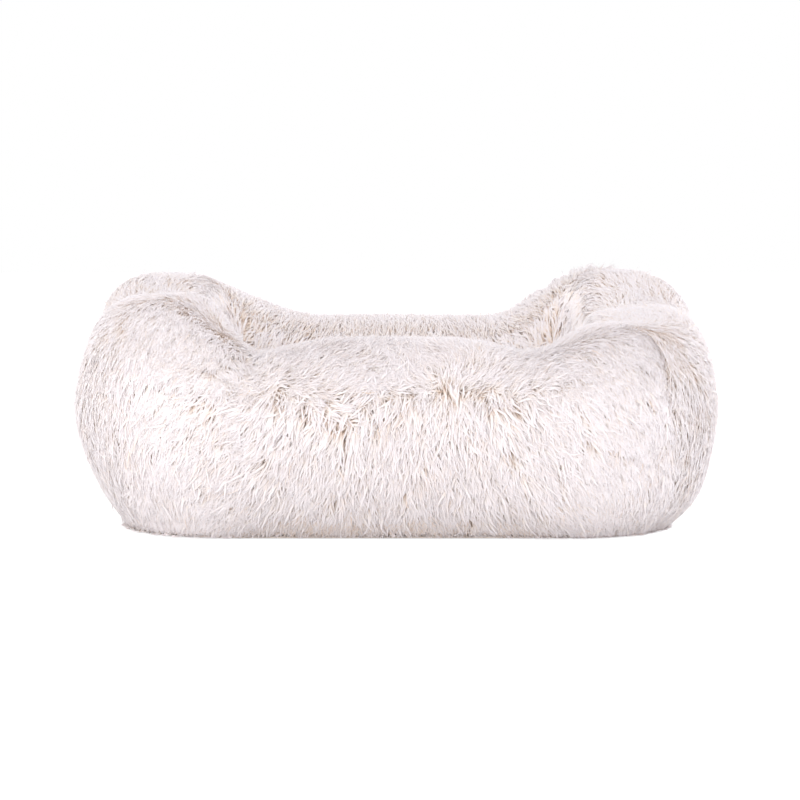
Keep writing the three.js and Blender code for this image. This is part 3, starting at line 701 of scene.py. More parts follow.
print("pile")
longStops, shortStops, fuzzStops = (0, 0.16, 0.45, 0.75, 1), (0, 0.25, 0.62, 1), (0, 0.4, 1)  # along a lock
outerLooks = {
    "seed": 1, "tone": 0.32, "clump": 0.010, "guideTurn": 26, "stray": 9, "strays": 0.015, "gather": 0.66,
    "length": 0.038, "shortLength": 0.026, "width": 0.0030, "thinWidth": 0.0012, "thinShare": 0.3,
    "rise": 0.0165, "lift": 3.6, "strayRise": 0.004, "standRise": 0.003, "upright": 34, "droop": 2.4,
    "wave": 0.28, "bend": 0.3,
}
upperLooks = {**outerLooks, "seed": 2, "width": 0.0022, "upright": 40, "clump": 0.008, "length": 0.032}
innerLooks = {**outerLooks, "seed": 3, "rise": 0.0104, "strays": 0.0, "upright": 24}
fuzzLooks = {
    **upperLooks, "seed": 6, "thinShare": 1, "thinWidth": 0.0013, "length": 0.024, "shortLength": 0.021,
    "gather": 0.35, "clump": 0.005, "stray": 14,
}
# The hem fuzz's higher tone makes it tan: painted shade where the pile meets the floor.
hemLooks = {
    **fuzzLooks, "seed": 8, "tone": 0.62, "length": 0.011, "shortLength": 0.011, "depth": 0.0030,
    "rise": 0.0060, "thinWidth": 0.0012, "upright": 25, "droop": 1.5, "strays": 0.0,
}
# The parting fuzz's high tone makes it tan: painted shade in the gap where the pile parts.
partingLooks = {
    **fuzzLooks, "seed": 9, "tone": 0.85, "length": 0.018, "shortLength": 0.018, "depth": 0.0060,
    "rise": 0.0080, "upright": 55, "bend": 1.2, "wave": 0.7, "thinWidth": 0.0014,
}
tuftLooks = {
    **upperLooks, "seed": 10, "length": 0.030, "shortLength": 0.030, "rise": 0.0178, "upright": 62,
    "droop": 0.9, "standRise": 0.006, "clump": 0.015, "gather": 0.85, "stretch": (0.80, 1.0),
}
sideLooks = {"rise": 0.0080, "width": 0.0027, "thinShare": 0.3, "upright": 26, "calm": 1}
sideFuzz = {**fuzzLooks, "rise": sideLooks["rise"]}
sideLower = {**sideFuzz, "calm": 1, "seed": 12, "thinWidth": 0.0016}
sideInner = {**innerLooks, "rise": 0.0042}
pileBands = {  # name ending, from and to around the wall, locks, stops along a lock, looks
    "front": [
        ("_foot_pile", 0.004, 0.165, 8400, longStops, outerLooks),
        ("_flank_pile", 0.155, 0.345, 10800, longStops, {**outerLooks, "seed": 4}),
        ("_shoulder_pile", 0.325, 0.435, 7200, shortStops, upperLooks),
        ("_shoulder_fuzz", 0.315, 0.435, 10500, fuzzStops, fuzzLooks),
        ("_crest_pile", 0.425, 0.60, 6600, shortStops, {**upperLooks, "seed": 5}),
        ("_crest_fuzz", 0.425, 0.60, 9600, fuzzStops, {**fuzzLooks, "seed": 7}),
        ("_hem_fuzz", 0.003, 0.04, 3400, fuzzStops, hemLooks),
        ("_parting_fuzz", 0.275, 0.375, 4200, fuzzStops, partingLooks),
        ("_inner_pile", 0.59, 0.93, 3800, shortStops, innerLooks),
    ],
    "back": [
        ("_lower_pile", 0.004, 0.305, 7900, shortStops, outerLooks),
        ("_upper_pile", 0.285, 0.60, 8600, shortStops, upperLooks),
        ("_upper_fuzz", 0.285, 0.62, 9000, fuzzStops, fuzzLooks),
        ("_inner_pile", 0.59, 0.93, 5400, shortStops, innerLooks),
        ("_hem_fuzz", 0.003, 0.04, 2000, fuzzStops, hemLooks),
        ("_ear_tufts", 0.40, 0.58, 5200, shortStops, tuftLooks),
    ],
}
for name in ("left", "right"):
    pileBands[name] = [
        ("_lower_pile", 0.004, 0.305, 5200, shortStops, {**outerLooks, **sideLooks}),
        ("_upper_pile", 0.285, 0.60, 6600, shortStops, {**upperLooks, **sideLooks}),
        ("_upper_fuzz", 0.285, 0.62, 10500, fuzzStops, sideFuzz),
        ("_inner_pile", 0.59, 0.93, 3200, shortStops, sideInner),
        ("_hem_fuzz", 0.003, 0.04, 2000, fuzzStops, hemLooks),
        ("_lower_fuzz", 0.01, 0.305, 7500, fuzzStops, sideLower),
    ]
for name, bands in pileBands.items():
    for ending, low, high, count, stops, looks in bands:
        locks = layLocks(name + ending, walls[name], low, high, count, stops, looks)
        finished(name + ending, locks, pilePaint, "fur")


# Cloth and fibre finishes of what the covers hold
def woven(name, pale, dark, threads, roughness):  # plain weave, a little uneven; threads to the metre
    cloth = Finish(name, Roughness=roughness, Specular_IOR_Level=0.2)
    spot = cloth.place()
    x, y, z = cloth.split(cloth.stretched(spot, (threads * math.pi,) * 3))
    over = (x.sine() * y.sine() + z.sine() * x.sine() * 0.5).size()
    slub = cloth.noise(cloth.stretched(spot, (1, 0.12, 0.5)), threads * 0.35, 3)
    patch = cloth.noise(spot, 14, 3)
    colour = cloth.mix(patch.step(0.3, 0.75) * 0.5 + over * 0.35, pale, dark)
    colour = cloth.mix(slub.step(0.55, 0.8) * 0.4, colour, dark)
    return cloth.wear(colour, roughness - over * 0.12, over + slub * 0.7, 0.00025)


def fibrous(name, pale, dark):
    fibre = Finish(name, Roughness=0.95, Specular_IOR_Level=0.12)
    spot = fibre.place()
    tangle = fibre.noise(fibre.stretched(spot, (1, 2.5, 1)), 260, 6, 0.7)
    strands = fibre.noise(fibre.stretched(spot, (4, 1, 4)), 330, 4, 0.65)
    clump = fibre.noise(spot, 28, 3)
    shade = fibre.mix(clump.step(0.35, 0.7), pale, dark)
    shade = fibre.mix(strands.step(0.5, 0.66) * 0.45, shade, dark)
    return fibre.wear(shade, 0.86 + tangle * 0.12, tangle + clump * 2.0 + strands * 0.6, 0.0022)


def spunbond(name, pale, dark):  # thin non-woven cloth, pressed in small points
    cloth = Finish(name, Roughness=0.8, Specular_IOR_Level=0.25)
    spot = cloth.place()
    x, y, z = cloth.split(cloth.stretched(spot, (2100, 2100, 2100)))
    points = (x.sine() * y.sine() + z.sine()).step(0.55, 1.2)
    fibres = cloth.noise(cloth.stretched(spot, (3, 1, 2)), 420, 5, 0.7)
    colour = cloth.mix(fibres.step(0.42, 0.62) * 0.6, pale, dark)
    colour = cloth.mix(points * 0.5, colour, dark)
    return cloth.wear(colour, 0.72 + fibres * 0.2, fibres - points * 0.8, 0.0002)


bagPaint = spunbond("spunbondBag", tint(244, 242, 239), tint(222, 219, 215))
fillingPaint = fibrous("hollowFibre", tint(248, 248, 246), tint(226, 225, 222))
basePaint = woven("canvasBase", tint(233, 221, 210), tint(212, 199, 187), 1100, 0.9)
plainPaint = woven("liningCloth", tint(244, 238, 232), tint(226, 217, 208), 1500, 0.85)

print("bags and fillings")
innerSettings = {  # size is that of the folds
    "bag": {
        "ending": "_filling_bag", "depth": 0.0150, "cloth": 0.0009, "crumple": 0.0010, "size": 0.035,
        "steps": 44, "turns": 52, "gap": 0.0009, "fill": 0.7,
    },
    "filling": {
        "ending": "_filling", "depth": 0.0180, "crumple": 0.0050, "size": 0.05,
        "steps": 44, "turns": 52, "gap": 0.0030, "fill": 0.5,
    },
}
for name, wall in walls.items():
    for kind, paint, slot in (("bag", bagPaint, "bag_cloth"), ("filling", fillingPaint, "fibre_filling")):
        looks = innerSettings[kind]
        node, fill = name + looks["ending"], looks["fill"]
        piece = finished(node + "_soft", tubeOf(wall, looks), paint, slot, "bed", [node])
        if kind == "bag":
            thicken(piece, looks["cloth"])


print("base")
plateSteps = {"corner": 14, "edge": 3}  # cuts round a corner and over an edge


def plate(halfX, halfY, corner, low, high, edge):  # a flat piece with round corners and a soft edge
    bm = bmesh.new()
    bmesh.ops.create_grid(bm, x_segments=1, y_segments=1, size=1)
    bmesh.ops.scale(bm, verts=bm.verts, vec=(halfX, halfY, 1))
    soften(bm, bm.verts[:], corner, plateSteps["corner"], "VERTICES")
    bmesh.ops.translate(bm, verts=bm.verts, vec=(0, 0, low))
    top = bmesh.ops.extrude_face_region(bm, geom=bm.faces[:])["geom"]
    raised = [v for v in top if isinstance(v, bmesh.types.BMVert)]
    bmesh.ops.translate(bm, verts=raised, vec=(0, 0, high - low))
    bmesh.ops.recalc_face_normals(bm, faces=bm.faces)
    rim = [e for e in bm.edges if abs(e.verts[0].co.z - e.verts[1].co.z) < 1e-6]
    soften(bm, rim, edge, plateSteps["edge"])
    return bm


def joined(parts):  # one mesh from several, each already in place
    whole = bmesh.new()
    for part in parts:
        mesh = meshOf(part, "part")
        whole.from_mesh(mesh)
        bpy.data.meshes.remove(mesh)
    return whole


baseSettings = {
    "edge": 0.0006, "dotWide": 0.012, "dotPitch": 0.066, "dotHigh": 0.0012, "dotMargin": 0.020,
    "dotTaper": 0.8, "dotEdge": 0.0005, "dotSink": 0.00002,
    "hemInset": 0.006, "stitchLong": 0.0026, "stitchPitch": 0.0042, "stitchThick": 0.0005,
}
low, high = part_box("base_panel")
baseHalf = Vector((high[0], high[1]))
baseCorner = bedForm["cornerRadius"] + bedForm["section"][0][0] * bedForm["halfThickness"]
clothLow = baseSettings["dotHigh"]
cloth = plate(baseHalf.x, baseHalf.y, baseCorner, clothLow, high[2], baseSettings["edge"])
finished("base_cloth", cloth, basePaint, "base_cloth", "bed", ["base_panel"])
dots = []
pitch, wide = baseSettings["dotPitch"], baseSettings["dotWide"] / 2
columns, rows = math.floor(baseHalf.x / pitch), math.floor(baseHalf.y / pitch)
for column in range(-columns, columns + 1):
    for row in range(-rows, rows + 1):
        x, y = column * pitch, row * pitch
        pastX, pastY = max(abs(x) - baseHalf.x + baseCorner, 0), max(abs(y) - baseHalf.y + baseCorner, 0)
        if math.hypot(pastX, pastY) > baseCorner - baseSettings["dotMargin"]:
            continue
        dot, tip = bmesh.new(), wide * baseSettings["dotTaper"]
        bmesh.ops.create_cone(dot, cap_ends=True, segments=16, radius1=tip, radius2=wide, depth=clothLow)
        bmesh.ops.translate(dot, verts=dot.verts, vec=(x, y, clothLow / 2 + baseSettings["dotSink"]))
        rim = [e for e in dot.edges if all(v.co.z < clothLow / 2 for v in e.verts)]
        soften(dot, rim, baseSettings["dotEdge"], plateSteps["edge"])
        dots.append(dot)
rubber = Finish("gripRubber", Roughness=0.6, Specular_IOR_Level=0.4)
spot = rubber.place()
grain = rubber.noise(spot, 1400, 4)
dust = rubber.noise(spot, 60, 4).step(0.4, 0.7)
rubberPaint = rubber.wear(
    rubber.mix(dust, tint(196, 184, 172), tint(176, 163, 151)), 0.5 + grain * 0.3, grain, 0.0001
)
finished("base_grip_dots", joined(dots), rubberPaint, "base_cloth")


def stitches(spots, headings, outs, settings):  # a row of thread stitches, each a short closed bead
    parts = []
    for spot, heading, out in zip(spots, headings, outs):
        bead = bmesh.new()
        bmesh.ops.create_icosphere(bead, subdivisions=1, radius=0.5)
        side = heading.cross(out)
        size = (settings["stitchLong"], settings["stitchThick"], settings["stitchThick"])
        turn = Matrix((heading * size[0], side * size[1], out * size[2])).transposed().to_4x4()
        bmesh.ops.transform(bead, matrix=Matrix.Translation(spot) @ turn, verts=bead.verts)
        bmesh.ops.recalc_face_normals(bead, faces=bead.faces)
        parts.append(bead)
    return joined(parts)


def roundTrack(halfX, halfY, corner, pitch):  # points and headings along a rectangle with round corners
    straightX, straightY = 2 * (halfX - corner), 2 * (halfY - corner)
    arc = corner * math.pi / 2
    total = 2 * (straightX + straightY) + 4 * arc
    runs = [(straightX, 0), (arc, 1), (straightY, 0), (arc, 1)] * 2
    count = int(total / pitch)
    for i in range(count):
        left, spot, turn = i * total / count, Vector((-straightX / 2, -halfY)), 0.0
        for length, curved in runs:
            walked = min(left, length)
            c, s = math.cos(turn), math.sin(turn)
            if curved:
                bend = walked / corner
                ahead, side = corner * math.sin(bend), corner * (1 - math.cos(bend))
                spot += Vector((ahead * c - side * s, ahead * s + side * c))
                turn += bend
            else:
                spot += Vector((c, s)) * walked
            left -= walked
            if left <= 0:
                break
        yield spot, turn


thread = Finish("sewingThread", Roughness=0.6, Specular_IOR_Level=0.3)
spot = thread.place()
twist = thread.noise(thread.stretched(spot, (1, 3, 1)), 1800, 3)
threadPaint = thread.wear(
    thread.mix(twist, tint(236, 226, 215), tint(208, 194, 180)), 0.5 + twist * 0.2, twist, 0.0001
)
inset, pitch = baseSettings["hemInset"], baseSettings["stitchPitch"]
track = list(roundTrack(baseHalf.x - inset, baseHalf.y - inset, baseCorner - inset, pitch))
hem = stitches(
    [Vector((p.x, p.y, clothLow)) for p, _ in track],
    [Vector((math.cos(turn), math.sin(turn), 0)) for _, turn in track],
    [Vector((0, 0, -1))] * len(track), baseSettings,
)
finished("base_hem_stitches", hem, threadPaint, "base_cloth")

nestSettings = {
    "padEdge": 0.006, "padDimple": 0.0016, "dimpleSize": 0.06, "dimpleSeed": 5, "dimpleUnder": 0.5,
    "liningEdge": 0.0005, "cell": 0.014, "leastCorner": 0.01,
}


def gridded(bm, cell):  # cuts the flat faces into cells of about that size
    low = [min(v.co[k] for v in bm.verts) for k in (0, 1)]
    high = [max(v.co[k] for v in bm.verts) for k in (0, 1)]
    for k in (0, 1):
        count = round((high[k] - low[k]) / cell)
        for i in range(1, count):
            place, normal = [0, 0, 0], [0, 0, 0]
            place[k], normal[k] = low[k] + (high[k] - low[k]) * i / count, 1
            cutAcross(bm, place, normal)
    return bm


for node, edge, paint, slot in (
    ("base_pad", nestSettings["padEdge"], fillingPaint, "fibre_filling"),
    ("floor_lining", nestSettings["liningEdge"], plainPaint, "plain_cloth"),
):
    low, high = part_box(node)
    corner = bedForm["cornerRadius"] - (walls["left"]["offset"] - high[0])
    corner = max(corner, nestSettings["leastCorner"])
    bm = gridded(plate(high[0], high[1], corner, low[2], high[2], edge), nestSettings["cell"])
    if node == "base_pad":
        for vertex in bm.verts:
            x, y, z = vertex.co
            dents = ripple(x, y, nestSettings["dimpleSeed"], nestSettings["dimpleSize"])
            dimple = nestSettings["padDimple"] * (1 + dents) / 2
            onTop = z > (low[2] + high[2]) / 2
            vertex.co.z = z - dimple if onTop else z + dimple * nestSettings["dimpleUnder"]
    piece = finished(node + "_soft", bm, paint, slot, "bed", [node])
    node == "base_pad"


print("cushion")
cushionForm = {
    "half": (0.186, 0.121), "corner": 0.042, "drawIn": 0.005, "seam": 0.0488, "clear": 0.0006, "lift": 0.0003,
    "startInset": 0.012, "startThick": 0.030, "startEdge": 0.008, "cell": 0.012,  # the form that is blown up
    "voxel": 0.005, "pressure": 4.0, "frames": 20, "cap": 0.028, "quickCrown": (0.6, 1.6),
    "flatShare": 0.45,  # share of the height that is flattened underneath
    "pileDepth": 0.0085, "cloth": 0.0011, "fillingDepth": 0.0035, "fillingRumple": 0.003, "rumpleSize": 0.05,
    "rumpleSeed": 77, "seamGap": 0.0006, "stitchInset": 0.004, "stitchDrop": 0.0028,
}


def inflated(bm):  # the same form after a cloth simulation with air pressure in it
    start = placed("cushion_start", meshOf(bm, "cushion_start"))
    remesh = start.modifiers.new("even", "REMESH")
    remesh.mode, remesh.voxel_size = "VOXEL", cushionForm["voxel"]
    even = evaluatedMesh(start)
    start.modifiers.clear()
    start.data = even
    rest = np.array([v.co for v in even.vertices])
    cloth = start.modifiers.new("air", "CLOTH").settings
    cloth.use_pressure, cloth.uniform_pressure_force = True, cushionForm["pressure"]
    cloth.effector_weights.gravity = 0
    for number in range(1, cushionForm["frames"] + 1):
        scene.frame_set(number)
    blown = evaluatedMesh(start)
    scene.frame_set(1)
    moved = np.array([v.co for v in blown.vertices]) - rest
    far = np.linalg.norm(moved, axis=1, keepdims=True)
    moved *= np.minimum(1, cushionForm["cap"] / np.maximum(far, 1e-9))
    blown.vertices.foreach_set("co", (rest + moved).astype(np.float32).ravel())
    bpy.data.objects.remove(start)
    result = bmesh.new()
    result.from_mesh(blown)
    bpy.data.meshes.remove(blown)
    return result


cushionLow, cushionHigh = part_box("cushion_base_cloth")[0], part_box("cushion_fur_top")[1]
halfX, halfY = cushionForm["half"]
middleHeight = (cushionLow[2] + cushionHigh[2]) / 2
inset, thick = cushionForm["startInset"], cushionForm["startThick"]
start = plate(
    halfX - inset, halfY - inset, cushionForm["corner"] - inset / 2,
    middleHeight - thick / 2, middleHeight + thick / 2, cushionForm["startEdge"],
)
gridded(start, cushionForm["cell"])
cushionShape = inflated(start)
places = np.array([v.co for v in cushionShape.verts])
spread = places.max(0) - places.min(0)
middleOf = (places.max(0) + places.min(0)) / 2
draw, clear, lift, flatShare = (cushionForm[key] for key in ("drawIn", "clear", "lift", "flatShare"))
for vertex, spot in zip(cushionShape.verts, places):  # drawn to the size that the bolsters leave
    x, y = [(spot[k] - middleOf[k]) / spread[k] * 2 for k in (0, 1)]
    up = (spot[2] - middleOf[2]) / spread[2] + 0.5
    flat = smoothStep(up, 0.0, flatShare) * flatShare if up < flatShare else up
    x *= halfX - draw * (1 - min(abs(y), 1) ** 2) - clear
    y *= halfY - draw * (1 - min(abs(x) / halfX, 1) ** 2) - clear
    vertex.co = (x, y, cushionLow[2] + lift + float(flat) * (cushionHigh[2] - cushionLow[2] - 2 * lift))
bmesh.ops.recalc_face_normals(cushionShape, faces=cushionShape.faces)
cushionShape.normal_update()


# keep is 1 for the part over the seam, -1 for the part under it and 0 for all
def cushionPart(name, depth, keep, rumple, paint, slot, node, cloth):
    bm = cushionShape.copy()
    normals = [v.normal.copy() for v in bm.verts]
    for vertex, normal in zip(bm.verts, normals):
        x, y, z = vertex.co
        folds = ripple(x, y + z, cushionForm["rumpleSeed"], cushionForm["rumpleSize"])
        vertex.co -= normal * float(depth + rumple * (1 + folds) / 2)
    if keep:
        seam = cushionForm["seam"] + keep * cushionForm["seamGap"]
        cutAcross(bm, (0, 0, seam), (0, 0, -keep), clear=True)
    if keep < 0:  # the base's edge is turned in to where the fur's backing meets it
        rim = bmesh.ops.extrude_edge_only(bm, edges=[e for e in bm.edges if e.is_boundary])
        turned = [v for v in rim["geom"] if isinstance(v, bmesh.types.BMVert)]
        share = [1 - cushionForm["pileDepth"] / half for half in cushionForm["half"]]
        bmesh.ops.scale(bm, verts=turned, vec=(*share, 1))
    piece = finished(name, bm, paint, slot, "cushion", [node])
    if cloth:
        thicken(piece, cloth)


thin, deep = cushionForm["cloth"], cushionForm["pileDepth"]
cushionPart("cushion_pile_backing", deep, 1, 0, backingPaint, "fur", "cushion_fur_top", thin)
cushionPart("cushion_base_soft", 0.0, -1, 0, basePaint, "plain_cloth", "cushion_base_cloth", thin)
cushionPart(
    "cushion_filling_soft", deep + thin + cushionForm["fillingDepth"], 0, cushionForm["fillingRumple"],
    fillingPaint, "fibre_filling", "cushion_filling", 0,
)

cushionPile = {
    "count": 5000, "seed": 905, "length": 0.026, "width": 0.0028, "thinWidth": 0.0012, "thinShare": 0.3,
    "rise": 0.0075, "upright": 36, "droop": 2.4, "bend": 0.4, "lift": 3.6, "tone": 0.32, "stray": 0.25,
    "swirl": 0.7, "swirlSize": 0.12, "swirlSeed": 31, "lengths": (0.7, 1.12), "layers": (0.4, 1.4),
    "sides": 0.22, "sidesFrom": (0.006, 0.01),  # share of roots on the sides, and how far from seam and top
    "fanOut": (0.25, 1.2), "fanOver": (0.6, 0.95), "lean": (0.12, -0.7, 0), "sag": -0.35,
    "edge": -0.0002, "within": 0.0008,  # the locks' lowest point over the seam, and their gap to the limit
}
cushionFuzz = {
    **cushionPile, "count": 7500, "seed": 906, "length": 0.019, "width": 0.0018, "thinWidth": 0.0014,
}


def layCushionLocks(name, looks, stops):
    dice = np.random.default_rng(looks["seed"])
    surface = BVHTree.FromBMesh(cushionShape)
    reach = [h - cushionForm["clear"] for h in cushionForm["half"]]
    limits = [far - looks["within"] for far in reach]
    lowest, lift = cushionForm["seam"] + looks["edge"], looks["lift"]
    spine, outs, index = [], [], 0
    while len(spine) < looks["count"]:
        index += 1
        x, y = [(step * 2 - 1) * far for step, far in zip(evenPlace(index), reach)]
        share = dice.random()
        spot, normal, _, _ = surface.ray_cast(Vector((x, y, cushionHigh[2] + 0.02)), Vector((0, 0, -1)))
        if spot is None:
            continue
        if share < looks["sides"] and normal.z > 0.5:  # some roots go to the sides, down to the seam
            out = Vector((x / reach[0] ** 2, y / reach[1] ** 2, 0)).normalized()
            overSeam, underTop = looks["sidesFrom"]
            level = dice.uniform(cushionForm["seam"] + overSeam, cushionHigh[2] - underTop)
            spot, normal, _, _ = surface.ray_cast(Vector((0, 0, level)) + out * 0.4, -out)
            if spot is None:
                continue
        swirl = looks["swirl"] * float(ripple(spot.x, spot.y, looks["swirlSeed"], looks["swirlSize"]))
        swirl += dice.normal(0, looks["stray"])
        edge = Vector((spot.x / reach[0], spot.y / reach[1], 0))
        fan, fanEdge = looks["fanOut"]
        along = edge * (fan + fanEdge * smoothStep(max(abs(edge.x), abs(edge.y)), *looks["fanOver"]))
        along = Matrix.Rotation(swirl, 3, "Z") @ (along + Vector(looks["lean"]))
        along = (along + Vector((0, 0, looks["sag"]))).normalized()
        length = looks["length"] * dice.uniform(*looks["lengths"])
        layer = 1 - looks["layers"][0] * dice.random() ** looks["layers"][1]
        bend = dice.normal(0, looks["bend"])
        last, row, outRow = 0.0, [], []
        for t in stops:
            upright = math.radians(looks["upright"]) * math.exp(-(t + last) / 2 * looks["droop"])
            flat = (along - normal * along.dot(normal)).normalized()
            flat = Matrix.Rotation(bend * (t - last), 3, normal) @ flat
            stepped = spot + flat * ((t - last) * length * math.cos(upright))
            spot, normal, _, _ = surface.find_nearest(stepped)
            climb = looks["rise"] * layer * (1 - math.exp(-t * lift)) / (1 - math.exp(-lift))
            place = spot + normal * (climb - cushionForm["pileDepth"])
            x, y = [min(max(place[k], -limits[k]), limits[k]) for k in (0, 1)]
            row.append((x, y, max(place.z, lowest)))
            outRow.append(tuple(normal))
            last = t
        spine.append(row)
        outs.append(outRow)
    count = len(spine)
    widths = np.where(dice.random(count) < looks["thinShare"], looks["thinWidth"], looks["width"])
    widths = widths * dice.uniform(*pileSettings["widths"], count)
    tone = np.clip(dice.normal(looks["tone"], pileSettings["toneSpread"], count), 0, 0.999)
    return pileMesh(name, stops, np.array(spine), np.array(outs), widths, np.floor(tone * toneCount))


for name, looks, stops in (
    ("cushion_pile", cushionPile, shortStops), ("cushion_fuzz", cushionFuzz, fuzzStops),
):
    finished(name, layCushionLocks(name, looks, stops), pilePaint, "fur", "cushion")
inset = cushionForm["stitchInset"]
track = list(roundTrack(
    halfX - cushionForm["drawIn"] - inset, halfY - cushionForm["drawIn"] - inset,
    cushionForm["corner"], baseSettings["stitchPitch"],
))
cushionSurface = BVHTree.FromBMesh(cushionShape)
spots, headings, outs = [], [], []
for spot, turn in track:
    out = Vector((math.sin(turn), -math.cos(turn), 0))
    level = Vector((spot.x, spot.y, cushionForm["seam"] - cushionForm["stitchDrop"]))
    hit, normal, _, _ = cushionSurface.ray_cast(level + out * 0.05, -out)
    if hit is not None:
        head = Vector((math.cos(turn), math.sin(turn), 0))
        spots.append(hit)
        headings.append((head - normal * head.dot(normal)).normalized())
        outs.append(normal)
seam = stitches(spots, headings, outs, baseSettings)
finished("cushion_seam_stitches", seam, threadPaint, "plain_cloth", "cushion")
cushionShape.free()


print("zip")
zipForm = {  # in the zip's own frame: x along it, y up the slope, z out of the cover
    "origin": (0, 0.2458, 0.01539), "up": (0, 0.6551, 0.7555), "out": (0, 0.7555, -0.6551), "depth": 0.004,
    "halfTape": 0.165, "tapeThick": 0.0008, "tapeEdge": 0.00025, "halfRow": 0.155, "inner": 0.0006,
    "rowWide": 0.0024, "rowLow": 0.0007, "rowHigh": 0.0016, "wire": 0.00033, "coilPitch": 0.00127,
    "coilSteps": 6, "seamInset": 0.0030, "seamPitch": 0.0026, "stitchLong": 0.0019, "stitchThick": 0.0004,
    "halfFacing": 0.1745, "facing": (-0.0200, 0.0170), "facingDepth": 0.0064, "facingThick": 0.0005,
    "facingSteps": (60, 6),
}
zipTurn = Matrix((Vector((-1, 0, 0)), Vector(zipForm["up"]), Vector(zipForm["out"]))).transposed().to_4x4()
zipPlace = Matrix.Translation(Vector(zipForm["origin"])) @ zipTurn


def fromZipFrame(bm):
    bmesh.ops.transform(bm, matrix=zipPlace, verts=bm.verts)
    bmesh.ops.recalc_face_normals(bm, faces=bm.faces)
    return bm


tape = Finish("zipTape", Roughness=0.85, Specular_IOR_Level=0.2)
spot = tape.place()
sx, sy, sz = tape.split(spot)
rib = ((sy * zipForm["up"][1] + sz * zipForm["up"][2]) * 5200.0).sine()
weft = (sx * 4200.0 + rib * 1.4).sine()
worn = (rib * 0.5 + 0.5) * 0.35 + tape.noise(spot, 45, 4).step(0.45, 0.75) * 0.4
tapePaint = tape.wear(
    tape.mix(worn, tint(244, 236, 228), tint(222, 211, 201)), 0.78 + weft * 0.08, rib + weft * 0.5, 0.00018
)
bm = bmesh.new()  # the cloth strip behind the tapes
(low, high), (steps, rows) = zipForm["facing"], zipForm["facingSteps"]
bmesh.ops.create_grid(bm, x_segments=steps, y_segments=rows, size=0.5)
bmesh.ops.scale(bm, verts=bm.verts, vec=(2 * zipForm["halfFacing"], high - low, 1))
bmesh.ops.translate(bm, verts=bm.verts, vec=(0, (low + high) / 2, -zipForm["facingDepth"]))
facing = finished("zip_facing", fromZipFrame(bm), plainPaint, "plain_cloth")
thicken(facing, zipForm["facingThick"], 0)
for name, side in (("upper", 1), ("lower", -1)):
    low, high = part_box("zip_tape_" + name)
    middle = (Vector(low) + Vector(high)) / 2 - Vector(zipForm["origin"])
    centre = middle.dot(Vector(zipForm["up"]))
    inner = side * zipForm["inner"]
    bm = bmesh.new()
    bmesh.ops.create_cube(bm, size=1)
    wide = 2 * abs(centre - inner)
    bmesh.ops.scale(bm, verts=bm.verts, vec=(2 * zipForm["halfTape"], wide, zipForm["tapeThick"]))
    bmesh.ops.translate(bm, verts=bm.verts, vec=(0, centre, -zipForm["depth"]))
    soften(bm, bm.edges[:], zipForm["tapeEdge"], 2)
    node = "zip_tape_" + name
    finished(node + "_woven", fromZipFrame(bm), tapePaint, "zip_tape", "bed", [node])
    count = int(2 * zipForm["halfTape"] / zipForm["seamPitch"])
    top = -zipForm["depth"] + zipForm["tapeThick"] / 2
    line = inner + side * (zipForm["rowWide"] + zipForm["seamInset"])
    along = [-zipForm["halfTape"] + (i + 0.5) * zipForm["seamPitch"] for i in range(count)]
    spots = [zipPlace @ Vector((x, line, top)) for x in along]
    seam = stitches(spots, [Vector((1, 0, 0))] * count, [Vector(zipForm["out"])] * count, zipForm)
    finished("zip_seam_" + name, seam, threadPaint, "zip_tape")

nylon = Finish("zipNylon", Roughness=0.35, Specular_IOR_Level=0.5)
spot = nylon.place()
clouded = nylon.noise(spot, 700, 4)
scuffs = nylon.noise(nylon.stretched(spot, (0.2, 1, 1)), 2400, 3)
nylonPaint = nylon.wear(
    nylon.mix(clouded, tint(240, 233, 224), tint(221, 210, 198)), 0.28 + scuffs * 0.3, scuffs, 0.00005
)
turns = int(2 * (zipForm["halfRow"] - zipForm["wire"]) / zipForm["coilPitch"])
count = turns * zipForm["coilSteps"] + 1
wide, high = (zipForm[key] / 2 - zipForm["wire"] for key in ("rowWide", "rowHigh"))
for name, side in (("upper", 1), ("lower", -1)):
    angle = np.arange(count) * math.tau / zipForm["coilSteps"] + (0 if side > 0 else math.pi)
    line = np.stack([
        -turns * zipForm["coilPitch"] / 2 + np.arange(count) * zipForm["coilPitch"] / zipForm["coilSteps"],
        side * (zipForm["inner"] + zipForm["rowWide"] / 2) + wide * np.cos(angle),
        -zipForm["depth"] + zipForm["rowLow"] + zipForm["rowHigh"] / 2 + high * np.sin(angle),
        np.ones(count),
    ], axis=1)
    coil = bpy.data.curves.new("coil", "CURVE")
    coil.dimensions, coil.use_fill_caps = "3D", True
    coil.bevel_depth, coil.bevel_resolution = zipForm["wire"], 0
    spline = coil.splines.new("POLY")
    spline.points.add(count - 1)
    spline.points.foreach_set("co", line.ravel())
    wound = placed("coil", coil)
    bm = bmesh.new()
    bm.from_mesh(evaluatedMesh(wound))
    bpy.data.objects.remove(wound)
    finished("zip_coil_" + name, fromZipFrame(bm), nylonPaint, "zip_teeth", "bed", ["zip_teeth_" + name])

metal = Finish("zipMetal", Metallic=0.9, Roughness=0.35)
spot = metal.place()
brushed = metal.noise(metal.stretched(spot, (0.15, 1, 1)), 5200, 4)
dull = metal.noise(spot, 420, 5).step(0.5, 0.75) * 0.6
metalPaint = metal.wear(
    metal.mix(dull, tint(205, 203, 199), tint(166, 163, 158)), 0.26 + brushed * 0.22, brushed, 0.00003
)
for node in ("zip_slider", "zip_pull", "zip_bottom_stop", "zip_top_stop_upper", "zip_top_stop_lower"):
    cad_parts[node].material_slots[0].material = metalPaint


